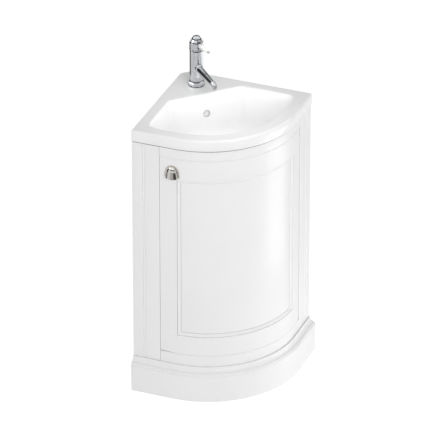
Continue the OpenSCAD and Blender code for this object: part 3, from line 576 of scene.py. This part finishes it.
rim = soften([(0, -THICK), (0, 0), (EDGE, 0), (EDGE, -THICK)],
             np.array([[0.5], [1.3], [1.3], [0.5]]))
flat = np.linspace(3, EDGE - 3, 14)
section = np.concatenate([
    rim[:10], np.stack([flat, 0 * flat], 1), rim[10:], np.stack([flat[::-1], 0 * flat - THICK], 1)])
share = section[:, :1] / EDGE
door_rows = (1 - share) * DOOR + share * WINDOW
turn = np.linspace(0, math.pi, 24)
half_round = room(PIVOT_U + THICK / 2 * np.cos(turn), PIVOT_V - THICK / 2 * np.sin(turn),
                  np.array(DOOR_Z)[:, None])
make("door_frame", [bowed_frame(door_rows, section[:, 1], slack=DROP * (1 - share)),
                    skin(half_round)],
     paint, "door", ["door_stile_knob", "door_stile_hinge", "door_rails"])
INWARD = np.array([1.0, -1.0, 1.0, -1.0])
field = [(WINDOW - 2 * INWARD, -9, -13, 0.5), (WINDOW + 11.6 * INWARD, -7, -9.2, 0.6)]
make("door_panel_board", [board(s0, s1, near, far, z0, z1, ease=ease, steps=128)
                          for (s0, s1, z0, z1), near, far, ease in field],
     paint, "door", ["door_panel"])
print("door", np.round(DOOR, 1), "window", np.round(WINDOW, 1))

# %% Moulding round the panel
ogee = soften([(1.0, -9), (1.0, -2.2), (2.0, -1.6), (3.8, -2.0), (5.4, -3.4), (6.6, -4.8),
               (8.4, -5.3), (10.3, -5.8), (10.5, -6.6), (10.5, -9)], 0.5, steps=3)
make("panel_moulding", [bowed_frame(WINDOW + ogee[:, :1] * INWARD, ogee[:, 1])], paint, "door",
     ["door_moulding"], sharp=50)

# %% [markdown]
# ## The basin
# The basin was poured in a mould: a rolled edge, a flat deck for the tap, and a bowl that follows
# the unit's plan and turns smoothly into its floor. Subdividing a box would wander from those lines.
# Here each level is an outline about the waste, found from how far each wall is in every direction,
# and the outlines stack from the waste hole up the bowl, over the rim, and back underneath.

# %% Outlines of the basin
RIM = reach("basin_deck")[2][1]
WASTE = (reach("waste_plug")[0][0] + reach("waste_plug")[0][1]) / 2
SIDE, BACK, FRONT, DEPTH = 36.0, 176.0, 40.0, 135.0  # walls to bowl, diagonal to bowl, rim, depth
LEAN, DISH = math.tan(math.radians(9.4)), 86.0
OVERHANG, CHAMFER = 4.0, 17.0  # past the cabinet's face, and off the room corner on the diagonal
REACHES = FLAT + BOW
FAR, NEAR = REACHES + OVERHANG, REACHES - FRONT
CUT_END, SHOULDER = 24.0, BACK * math.sqrt(2) - SIDE
corners = [(0, FAR), (FAR, 0), (CUT_END, 0), (0, CUT_END), (SIDE, NEAR), (NEAR, SIDE),
           (SIDE, SHOULDER), (SHOULDER, SIDE)]
towards = [math.atan2(v - WASTE, u - WASTE) for u, v in corners]
close = np.radians(np.linspace(-4, 4, 33))
bearing = np.unique(np.concatenate(
    [np.linspace(-math.pi, math.pi, 300, endpoint=False)] +
    [np.mod(t + close + math.pi, 2 * math.pi) - math.pi for t in towards]).round(5))
print(len(bearing), "points in each outline of the basin")


def power_sum(shares, power):
    """The nth root of the sum of nth powers, each first divided by the largest to keep it exact."""
    largest = np.maximum(shares.max(0), 1e-9)
    return largest * ((shares / largest) ** power).sum(0) ** (1 / power)


def outline(wall, diagonal, straight, curve, back_power, front_power):
    """How far the outline is from the waste along each bearing.

    Every wall gives a share, one over its distance along the bearing. The largest share is the wall
    that is met first. The shares are joined by a power sum, the nth root of the sum of nth powers,
    which is the largest one rounded over where two are alike. The front is a circle about the bow's
    centre where it lies beyond both straight parts, and a straight line elsewhere.
    """
    c, s = np.cos(bearing), np.sin(bearing)
    toward = WASTE - FLAT
    along = toward * (c + s)
    arc = -along + np.sqrt(np.maximum(along**2 - 2 * toward**2 + curve**2, 0))
    side_v = (straight - WASTE) / np.maximum(s, 1e-6)
    side_u = (straight - WASTE) / np.maximum(c, 1e-6)
    ahead = np.where(WASTE + arc * c < FLAT, side_v, np.where(WASTE + arc * s < FLAT, side_u, arc))
    shares = np.stack([np.maximum(-c, 0) / (WASTE - wall), np.maximum(-s, 0) / (WASTE - wall),
                       np.maximum(-(c + s) / math.sqrt(2), 0) / (WASTE * math.sqrt(2) - diagonal)])
    behind = power_sum(shares, back_power)
    return 1 / power_sum(np.stack([behind, 1 / np.maximum(ahead, 1e-6)]), front_power)


def bowl_outline(inset, back_power=60, front_power=14):
    """The bowl's outline, moved in from its edge by inset on every wall."""
    return outline(SIDE + inset, BACK + inset, NEAR - inset, BOW - FRONT - inset, back_power,
                   front_power)


def edge_outline(inset):
    """The basin's outer outline, moved in by inset."""
    return outline(inset, CHAMFER + inset, FAR - inset, BOW + OVERHANG - inset, 160, 160)


def ring(radius, z):
    """One closed outline: the distance from the waste along each bearing, at its height."""
    return room(WASTE + radius * np.cos(bearing), WASTE + radius * np.sin(bearing), z)


# %% Stack the basin's outlines
def wall(a, thick=0.0):
    """Depth and inset of the bowl's wall once it has turned by a towards its floor: the depth is the
    cube root of the sine, and the inset is the lean plus the dish times one less the cosine."""
    depth = (DEPTH + thick) * math.sin(a) ** (1 / 3)
    return depth, depth * LEAN + DISH * (1 - math.cos(a)) - thick


LIP, WASTE_HOLE, UNDER = 5.0, 21.1, 12.0
bowl_z = RIM - DEPTH
# The edge is rolled 8 mm deep along the front and 2 mm along the walls, with a soft change between
rolled = 2.0 + 6.0 * ((bearing > towards[1]) & (bearing < towards[0]))
rolled = np.convolve(np.concatenate([rolled[-6:], rolled, rolled[:6]]), np.ones(13) / 13, "valid")
rings = [ring(WASTE_HOLE, bowl_z - UNDER), ring(WASTE_HOLE, bowl_z - 1), ring(WASTE_HOLE + 1, bowl_z)]
floor_edge = bowl_outline(wall(math.pi / 2)[1], 8, 6)
rings += [ring(WASTE_HOLE + 1 + (floor_edge - WASTE_HOLE - 1) * t, bowl_z) for t in (0.3, 0.6, 0.85)]
turned = np.radians(np.concatenate([np.linspace(90, 12, 24), [8, 5, 3, 1.5, 0.6, 0.15, 0.04]]))
for a in turned:
    depth, inset = wall(a)
    if depth > LIP:
        firm = 1 - min(depth / DEPTH, 1) ** 3
        rings.append(ring(bowl_outline(inset, 8 + 52 * firm, 6 + 8 * firm), RIM - depth))
for b in np.radians(np.linspace(90, 0, 8)):
    inset = -LIP + (LIP + LIP * LEAN) * math.sin(b)
    rings.append(ring(bowl_outline(inset), RIM - LIP * (1 - math.cos(b))))
lip_edge = bowl_outline(-LIP)
rings += [ring(lip_edge + (edge_outline(rolled) - lip_edge) * t, RIM) for t in (0.1, 0.5, 0.9)]
for b in np.radians(np.linspace(0, 90, 9)):
    rings.append(ring(edge_outline(rolled * (1 - math.sin(b))), RIM - rolled * (1 - math.cos(b))))
# Under the edge the china steps back, which leaves the slot that shades the joint
rings += [ring(edge_outline(inset), CABINET + z) for inset, z in (
    (0, 4.6), (0.3, 4.0), (0.8, 3.6), (8.0, 3.6), (8.2, 0.1), (11.0, 0.1), (12.0, 1))]
rings += [ring(edge_outline(12.0), RIM - 15)]
for a in np.radians([3, 8, 16, 26, 38, 50, 62, 75, 90]):
    depth, inset = wall(a, UNDER)
    rings.append(ring(bowl_outline(inset, 30, 12), RIM - max(depth, 14)))
basin = make("basin_casting", [skin(np.stack(rings), joined=True)], china, "cabinet",
             ["basin_floor", "basin_deck", "basin_back", "basin_sides", "basin_front_left",
              "basin_front_middle_left", "basin_front_middle_right", "basin_front_right"], sharp=60)

# %% A dark bead in the slot under the basin: painted shade for the shadow line at the joint
make("basin_shadow_bead", [skin(np.stack([ring(edge_outline(inset), CABINET + z) for inset, z in (
    (4.6, 0.05), (4.6, 1.0), (6.5, 1.0), (6.5, 0.05))]), joined=True)], rubber_and_shade, "cabinet")

# %% [markdown]
# ## The overflow
# A hole high in the bowl's back wall takes water away before the basin spills, and a chrome ring
# lines it. The hole is drilled square to the leaning wall. Its outline could be worked into the
# basin's rings. A Boolean modifier drills it here, as a cutter does in wet clay. The hole is shallow,
# because the photograph shows glaze at its bottom.

# %% Drill and line the overflow
def cut_away(piece, cutter):
    """Takes a skin's space out of a piece with an exact Boolean, applied to the mesh."""
    mesh = bpy.data.meshes.new("cutter")
    mesh.from_pydata(cutter[0].tolist(), [], cutter[1])
    tool = add_object("cutter", mesh)
    step = piece.modifiers.new("cut", "BOOLEAN")
    step.operation, step.solver, step.object = "DIFFERENCE", "EXACT", tool
    bpy.context.view_layer.update()
    seen = piece.evaluated_get(bpy.context.evaluated_depsgraph_get())
    piece.data = bpy.data.meshes.new_from_object(seen)
    piece.modifiers.clear()
    bpy.data.objects.remove(tool)
    print(f"{piece.name} cut: {len(piece.data.polygons)} faces")


OVERFLOW_DEPTH, HOLE_R, HOLE_DEPTH = 65.0, 8.3, 3.5
turn_there = math.asin((OVERFLOW_DEPTH / DEPTH) ** 3)
lean_there = math.radians(10.2)
overflow = DIAGONAL * (BACK + wall(turn_there)[1] - 0.3) + UP * (RIM - OVERFLOW_DEPTH)
overflow_axis = DIAGONAL * math.cos(lean_there) + UP * math.sin(lean_there)
cut_away(basin, spin([(HOLE_R, -HOLE_DEPTH), (HOLE_R, 12)], overflow, overflow_axis))
lining = rounded([(8.0, -1.2), (8.0, 0.8), (8.8, 1.5), (10.8, 1.4), (11.7, 0.6), (11.7, -0.2),
                  (8.25, -0.2), (8.25, -1.2)], 0.4)
make("overflow_lining", [spin(lining, overflow, overflow_axis, joined=True)], chrome, "cabinet",
     ["overflow_ring"])

# %% [markdown]
# ## The tap
# A lever mixer is turned from brass and plated. It stands on an eight-sided foot, and a collar ring
# parts the still barrel from the cap that turns. Each part is a profile spun about its own axis, as
# on a lathe. The foot is faceted after turning, so its radius is drawn towards a polygon's. The slot
# that frees the lever is milled, so it is cut with a Boolean. Each groove of the barrel holds a thin
# dark ring of painted shade, because a real one is too narrow for light to reach its bottom.

# %% Tap body
TAP = DIAGONAL * 106 + UP * RIM
FOOT_Z, CAP_Z, SLOT_Z = UP * 1.5, UP * 128.1, UP * 136
SLOT_HALF, SLOT_LENGTH, SLOT_HEIGHT = 3.89, 60, 22


def on_tap(profile, cut=0.5):
    """A profile spun about the tap's upright axis, with heights above the basin's deck."""
    return spin(rounded(profile, cut), TAP, UP, around=96)


foot = rounded([(0.05, 0), (26.6, 0), (27.0, 3.0), (27.0, 9.3), (25.0, 11.3), (24.0, 11.9),
                (22.6, 15.5), (0.05, 15.5)], 0.8)
shank = [(0.05, -8), (16.5, -8), (16.5, 2), (0.05, 2)]
facets = np.where(foot[:, 1] < 11.5, 1.0, 0.0)
make("tap_foot_cast", [spin(foot, TAP + FOOT_Z, UP, around=96, sides=8, faceted=facets),
                       spin(shank, TAP + FOOT_Z, UP)], chrome, "cabinet", ["tap_foot"], sharp=15)
cut_away(basin, spin([(17.4, -30), (17.4, 9)], TAP, UP))
make("tap_seal", [on_tap([(0.05, 0), (26, 0), (26, 1.5), (0.05, 1.5)])], rubber_and_shade, "cabinet",
     ["tap_gasket"])
make("tap_barrel", [on_tap([(0.05, 15), (20.0, 15), (20.0, 18), (21.5, 18.6), (21.5, 121.4),
                            (20.0, 122.2), (20.0, 124.9), (22.7, 125.4), (22.7, 127.9),
                            (0.05, 127.9)])], chrome, "cabinet", ["tap_barrel", "tap_ring"])
# Thin black rings in the grooves: painted shade where light can't reach the bottom
make("tap_groove_shade_rings", [on_tap([(19.5, low), (20.9, low), (20.9, high), (19.5, high)], cut=0.3)
                          for low, high in ((122.3, 124.8), (15.6, 17.8))], rubber_and_shade, "cabinet")
cap = rounded([(0.05, 0), (21.3, 0), (22.0, 1.6), (22.0, 22), (19.6, 27), (14.4, 33.6), (0.05, 34)],
              1.6, steps=6)
tap_cap = make("tap_cap_shell", [spin(cap, TAP + CAP_Z, UP, around=96)], chrome, "tap_cap",
               ["tap_cap"])
make("tap_finial", [on_tap([(0.05, 161.8), (12.4, 161.8), (13.0, 163), (13.0, 166.4), (11.6, 167.6),
                            (9.4, 169.6), (5.0, 170.8), (0.05, 171)], cut=0.9)],
     chrome, "tap_cap", ["tap_finial"])
section = np.array([(side * SLOT_HALF, side * SLOT_HALF, z) for side, z in (
    (-1, 0), (1, 0), (1, SLOT_HEIGHT), (-1, SLOT_HEIGHT))])
milled = DIAGONAL * np.array([0, SLOT_LENGTH])[:, None, None] + section
cut_away(tap_cap, skin(place(TAP + SLOT_Z + milled)))
cut_away(tap_cap, spin([(15, 2), (15, 34)], TAP + CAP_Z, UP))

# %% [markdown]
# ## The spout
# The spout is a straight taper that leaves the barrel and turns down at its nose. A curve bevelled
# with a round section would do, but its taper and its blunt nose need a section that changes. So
# circles are carried along a path, each with its own radius.

# %% Spout
def tube(path, radius, sideways=(1.0, 1.0, 0.0), around=64):
    """Circles of the given radii carried along a path of points in the tap's upright plane.

    The direction at each point is the central difference of its neighbours. Each circle lies in the
    sideways direction and the cross product of that with the direction.
    """
    path = np.asarray(path, float)
    along = np.gradient(path, axis=0)
    along /= np.linalg.norm(along, axis=1, keepdims=True)
    across = np.asarray(sideways, float) / np.linalg.norm(sideways)
    up = np.cross(across, along)[:, None]
    angle = np.linspace(0, 2 * math.pi, around, endpoint=False)[None, :, None]
    circles = np.cos(angle) * across + np.sin(angle) * up
    return skin(place(path[:, None] + np.asarray(radius, float)[:, None, None] * circles))


REACH, NOSE, BEND = 140.0, 9.0, 9.0  # reach, radius at the nose and radius of the bend's path
ROOT_Z, BEND_Z, SLOPE = 66.0, 63.7, math.tan(math.radians(1))
reached = np.concatenate([np.linspace(16, 30, 15), np.linspace(32, REACH - BEND, 45)])
bend = np.radians(np.linspace(0, 89, 16))
distance = np.concatenate([reached, REACH - BEND + BEND * np.sin(bend)])
height = np.concatenate([ROOT_Z - reached * SLOPE, BEND_Z - BEND * (1 - np.cos(bend))])
path = TAP + DIAGONAL * distance[:, None] + UP * height[:, None]
drop = np.linspace(53.8, 49.7, 5)
path = np.concatenate([path, TAP + DIAGONAL * REACH + UP * drop[:, None]])
root_collar = np.interp(reached, [24.5, 25.5, 26.5, 27.5, 28.5], [1.9, 1.5, -0.6, -0.6, 0])
taper = 12 - 3 * reached / REACH + root_collar
radius = np.concatenate([taper, np.full(16, NOSE), [NOSE, NOSE, NOSE, 8.8, 8.3]])
make("tap_spout_tube", [tube(path, radius)], chrome, "cabinet", ["tap_spout"], sharp=60)

# %% [markdown]
# ## The lever
# The lever is a plated stem with a collar, a glazed porcelain handle that swells and narrows, and a
# small plated tip. The parts are turned, so each is a profile about the lever's axis.

# %% Lever
LEVER_AXIS = DIAGONAL * math.cos(math.radians(8)) + UP * math.sin(math.radians(8))
HUB = TAP + UP * 144
handle = [(0.05, 33.6), (5.8, 33.6), (6.6, 34.4), (7.1, 38), (7.7, 50), (7.6, 56), (6.9, 68),
          (5.8, 80), (5.1, 87), (4.4, 89.5), (0.05, 89.5)]
make("lever_porcelain", [spin(rounded(handle, 1.0), HUB, LEVER_AXIS)], porcelain, "tap_lever",
     ["lever_handle"])
TIP_R, TIP_AT = 4.6, 94.5
tip_turn = np.radians(np.linspace(-62, 90, 24))
tip = np.stack([np.maximum(TIP_R * np.cos(tip_turn), 0.05), TIP_AT + TIP_R * np.sin(tip_turn)], 1)
tip = np.concatenate([[(0.05, 89.6), (3.5, 89.6), (3.6, 90.0), (3.0, 90.6)], tip[1:]])
collar = [(0.05, 24.5), (5.6, 24.5), (6.2, 25.0), (7.5, 26.6), (7.5, 30.4), (6.9, 31.2), (6.2, 31.8),
          (6.4, 33.4), (0.05, 33.4)]
make("lever_metal", [spin(tip, HUB, LEVER_AXIS), spin(rounded(collar, 0.6), HUB, LEVER_AXIS)],
     chrome, "tap_lever", ["lever_collar", "lever_tip"])

# %% [markdown]
# ## The knob
# The knob is a small cup, cast in half of a fluted bell and set on an arched plate. It could be turned
# and cut in two. Here its outline is written as a formula, and each level of it is half of a
# twelve-sided polygon pressed flat, so that the flutes fan out from its crown to a toothed lip.

# %% Knob
KNOB_U, KNOB_Z = sum(reach("knob_plate")[0]) / 2, sum(reach("knob_plate")[2]) / 2
PLATE_W, PLATE_H, CUP_W, CUP_H, CUP_OUT = 25.0, 42.0, 21.5, 38.5, 17.8


def bell(down, wide, high):
    """Half-width and height at a share of the way down a bell.

    The half-width is the full one times one less the 2.6th power of what is left, to the power 0.44.
    """
    return wide * (1 - (1 - down) ** 2.6) ** 0.44, high * (0.5 - down)


def on_door(x, out, y):
    """Points x to the right, out from the door and y up from the middle of the knob's plate."""
    return room(KNOB_U + x, REACHES + out, KNOB_Z + y)


# Each level narrows to a polygon a quarter of the way down, and teeth show in the last eighth
down = 1 - np.cos(np.linspace(0.03, math.pi / 2, 36))
half, rise = (values[:, None] for values in bell(down, CUP_W, CUP_H))
half = half * (0.86 + 0.14 * down[:, None] ** 2)
turn = np.linspace(0, math.pi, 97)
side = math.cos(math.pi / 12) / np.cos(np.mod(turn, math.pi / 6) - math.pi / 12)
radius = half * (1 - np.clip(down[:, None] / 0.25, 0, 1) * (1 - side))
flat = half * np.linspace(-1, 1, 11)[1:-1]
x = np.concatenate([radius * np.cos(turn), flat], 1)
out = np.concatenate([radius * np.sin(turn) * CUP_OUT / CUP_W, flat * 0], 1)
teeth = np.concatenate([1.6 * (1 - np.abs(np.sin(6 * turn))), flat[0] * 0])
y = rise - (PLATE_H - CUP_H) / 2 + teeth * np.clip(down[:, None] * 8 - 7, 0, 1)
cup = on_door(x, 1.2 + out, y)
hollow = on_door(0.86 * x, 2.2 + 0.8 * out, y)[:20:-1]
make("knob_cup", [skin(np.concatenate([cup, hollow]))], nickel, "door", ["knob"], sharp=16)

half, rise = bell(down, 1.0, 1.0)
arch = np.concatenate([np.stack([half, rise], 1), np.stack([-half, rise], 1)[::-1]])
edge = [(0.0, 0.0), (0.0, 1.3), (0.5, 1.9), (1.4, 1.9), (2.1, 1.2), (22.0, 1.1)]
make("knob_back", [skin(np.stack([on_door(arch[:, 0] * (PLATE_W - inset), height,
                                          arch[:, 1] * (PLATE_H - 1.6 * inset))
                                  for inset, height in edge]))], nickel, "door", ["knob_plate"])

# %% [markdown]
# ## The waste
# The click-clack plug is a shallow dome on a stem. It hides at the bottom of the bowl in the
# photograph, and shows when the view is from above.

# %% Waste
PLUG = np.array([WASTE, -WASTE, reach("waste_plug")[2][1] - 4.5])
stem = [(0.05, -20), (4, -20), (4, 0), (0.05, 0)]
make("waste_plug_dome", [spin(rounded([(0.05, 0), (27.6, 0), (28, 0.5), (26.4, 2.2), (18, 4.2),
                                       (0.05, 4.5)], 0.5), PLUG, UP),
                         spin(stem, PLUG, UP, around=24)], chrome, "waste_plug", ["waste_plug"])

# %% [markdown]
# ## Light
# The photograph was lit softly from all round, with one large source in front, so the paint shows
# hardly any shadow. Metal and glaze mirror the room: a grey front, dark gaps and bright flanks, which
# draw the dark and bright lines on the tap and the bright band down the bow. A picture of a studio
# could give those reflections. Ramps do it in less: one round the horizon, two up the sky, and four
# patches over them. Light that isn't mirrored comes from a plain sky that dims upwards.

# %% Directions round the studio
world = bpy.data.worlds.new("studio")
world.use_nodes = True
bpy.context.scene.world = world
sky = world.node_tree
sky.nodes.clear()
ray = add(sky, "ShaderNodeSeparateXYZ", {"Vector": add(sky, "ShaderNodeTexCoord").outputs[0]}).outputs
ahead = add(sky, "ShaderNodeMath", {0: ray["Y"], 1: -1.0}, operation="MULTIPLY")
direction = add(sky, "ShaderNodeMath", {0: ray["X"], 1: ahead}, operation="ARCTAN2")
around = add(sky, "ShaderNodeMapRange", {"Value": direction, "From Min": -math.pi, "From Max": math.pi})
lift = add(sky, "ShaderNodeMapRange", {"Value": ray["Z"], "From Min": -0.4, "From Max": 1.0})


def bearings(*stops):
    """Stops round the horizon, from degrees: 0 is the front, 90 the right and 180 the back."""
    return [((angle + 180) / 360, level) for angle, level in stops]


# %% Ramps that metal and glaze mirror
level = add(sky, "ShaderNodeValToRGB", {"Fac": around}, stops=bearings(
    (-180, 1.1), (-165, 1.1), (-157, 0.12), (-95, 0.12), (-85, 0.80), (-8, 0.74), (0, 0.46),
    (18, 0.56), (28, 0.30), (40, 0.30), (50, 0.55), (82, 0.80), (92, 1.5), (135, 1.5), (150, 1.1),
    (180, 1.1)))
behind = add(sky, "ShaderNodeValToRGB", {"Fac": lift}, stops=[
    (0.0, 0.12), (0.24, 0.12), (0.27, 1.6), (0.38, 1.6), (0.43, 0.15), (0.68, 0.15), (0.80, 1.1),
    (1.0, 1.1)])
before = add(sky, "ShaderNodeValToRGB", {"Fac": lift}, stops=[
    (0.0, 0.9), (0.46, 0.9), (0.48, 0.10), (0.60, 0.10), (0.63, 1.1), (1.0, 1.1)])
rear = add(sky, "ShaderNodeValToRGB", {"Fac": around}, stops=bearings(
    (-180, 1.0), (-95, 1.0), (-85, 0.0), (140, 0.0), (150, 1.0), (180, 1.0)))
# The ramp round the horizon gives way to those up the sky, and at the back it does so lower down
height = add(sky, "ShaderNodeMath", {0: rear, 1: 0.32, 2: ray["Z"]}, operation="MULTIPLY_ADD")
climb = add(sky, "ShaderNodeMapRange", {"Value": height, "From Min": 0.02, "From Max": 0.12})
upper = add(sky, "ShaderNodeMix", {"Factor": rear, "A": before, "B": behind}, data_type="RGBA")
mirrored = add(sky, "ShaderNodeMix", {"Factor": climb, "A": level, "B": upper}, data_type="RGBA")


# %% Patches over the ramps
def patch(under, left, right, low, high, shade):
    """A patch over the levels under it, between two bearings in degrees and two lifts."""
    wide = add(sky, "ShaderNodeValToRGB", {"Fac": around}, stops=bearings(
        (-180, 0.0), (left - 6, 0.0), (left, 1.0), (right, 1.0), (right + 6, 0.0), (180, 0.0)))
    tall = add(sky, "ShaderNodeValToRGB", {"Fac": lift}, stops=[
        (0.0, 0.0), (low - 0.01, 0.0), (low, 1.0), (high, 1.0), (high + 0.03, 0.0), (1.0, 0.0)])
    mask = add(sky, "ShaderNodeMath", {0: wide, 1: tall}, operation="MULTIPLY")
    return add(sky, "ShaderNodeMix", {"Factor": mask, "A": under, "B": grey(shade)},
               data_type="RGBA")


# The first two darken the right of the knob. The others draw a dark and a bright line on the spout.
for edges_and_shade in ((27, 76, 0.02, 0.30, 0.08), (76, 140, 0.13, 0.30, 0.08),
                        (-98, -78, 0.164, 0.50, 0.02), (-80, -54, 0.55, 0.76, 3.6)):
    mirrored = patch(mirrored, *edges_and_shade)

# %% The sky that lights the rest
soft = add(sky, "ShaderNodeValToRGB", {"Fac": lift}, stops=[
    (0.0, 1.05), (0.36, 1.05), (0.6, 0.58), (1.0, 0.36)])
kind = add(sky, "ShaderNodeLightPath").outputs
lit = add(sky, "ShaderNodeMix", {"Factor": kind["Is Glossy Ray"], "A": soft, "B": mirrored},
          data_type="RGBA")
straight = add(sky, "ShaderNodeMath", {0: kind["Is Camera Ray"], 1: kind["Is Transmission Ray"]},
               operation="MAXIMUM")
seen = add(sky, "ShaderNodeMix", {"Factor": straight, "A": lit, "B": grey(1.0)}, data_type="RGBA")
background = add(sky, "ShaderNodeBackground", {"Color": seen, "Strength": 1.0})
add(sky, "ShaderNodeOutputWorld", {"Surface": background})
print(len(sky.nodes), "nodes in the studio's sky")

# %% [markdown]
# Lamps add what an even sky can't: a large one in front and a weaker one at the left model the bow, and
# small ones lift the rim, the bowl, the tap and the plinth's right-hand end. A card beside the door
# shows only in reflections, and puts the bright band on its paint. One big lamp would be truer to the
# studio, but would leave the bowl dark.

# %% Lamps
def lamp(name, spot, azimuth, elevation, distance, radiance, width, height, fan=180):
    """A soft rectangular lamp that faces a spot in the room, with a radiance where 1 is white.

    The power is the radiance times pi times the lamp's area. The fan is the full angle of its beam.
    """
    light = bpy.data.lights.new(name, "AREA")
    light.shape, light.size, light.size_y = "RECTANGLE", width, height
    light.energy = radiance * math.pi * width * height
    light.spread = math.radians(fan)
    a, e = math.radians(azimuth), math.radians(elevation)
    lamp_object = add_object(name, light)
    lamp_object.location = place(spot) + distance * heading(a, e)
    lamp_object.rotation_euler = (math.pi / 2 - e, 0.0, a)
    lamp_object.visible_camera = False
    return lamp_object


for settings in [
        ("front_lamp", [215, -215, 500], 42, 24, 4.0, 3.3, 2.4, 1.8),
        ("rim_lamp", [310, -310, RIM], 45, 88, 0.32, 1.35, 0.32, 0.32),
        ("bowl_lamp", [WASTE + 12, -WASTE - 12, bowl_z], -135, 80, 0.25, 1.05, 0.16, 0.12, 68),
        ("tap_lamp", [90, -90, 1000], 21, 75, 0.35, 2.4, 0.2, 0.2),
        ("left_lamp", [100, -430, 500], -35, 15, 4.0, 0.9, 1.6, 1.6),
        ("low_lamp", [454, -120, 40], 95, 0, 0.5, 3.0, 0.4, 0.15)]:
    lamp(*settings).visible_glossy = False
card = lamp("side_card", [411, -244, 275], 116.6, 0, 0.7, 1.6, 0.45, 0.55)
card.visible_diffuse = False

# %% [markdown]
# The floor looks almost white to the camera, as the photograph's ground does, because its diffuse grey
# glows. To every other ray it is a plain pale floor, which bounces light up under the plinth. A shadow
# catcher would leave no floor to bounce it.

# %% Floor
floor_material = bpy.data.materials.new("pale studio floor")
floor_material.use_nodes = True
tree = floor_material.node_tree
tree.nodes.clear()
grain = add(tree, "ShaderNodeTexNoise", {"Scale": per_mm(40)})
ground = add(tree, "ShaderNodeMix", {"Factor": grain, "A": grey(0.45), "B": grey(0.44)},
             data_type="RGBA")
matt = add(tree, "ShaderNodeBsdfDiffuse", {"Color": ground})
glow = add(tree, "ShaderNodeEmission", {"Color": grey(1.0), "Strength": 0.8})
plain = add(tree, "ShaderNodeBsdfDiffuse", {"Color": grey(0.92)})
shown = add(tree, "ShaderNodeAddShader", {0: matt, 1: glow})
to_camera = add(tree, "ShaderNodeLightPath").outputs["Is Camera Ray"]
choose = add(tree, "ShaderNodeMixShader", {0: to_camera, 1: plain, 2: shown})
add(tree, "ShaderNodeOutputMaterial", {"Surface": choose})

floor_mesh = bpy.data.meshes.new("floor")
FLOOR_HALF = 60.0
floor_corners = [(x * FLOOR_HALF, y * FLOOR_HALF, 0) for x, y in ((-1, -1), (1, -1), (1, 1), (-1, 1))]
floor_mesh.from_pydata(floor_corners, [], [(0, 1, 2, 3)])
floor_mesh.materials.append(floor_material)
floor = add_object("floor", floor_mesh)
floor.visible_glossy = False

# %% [markdown]
# ## Finish
# The look is plain, so that a colour renders as it was written.

# %% Set a plain look
bpy.context.scene.view_settings.view_transform = "Standard"
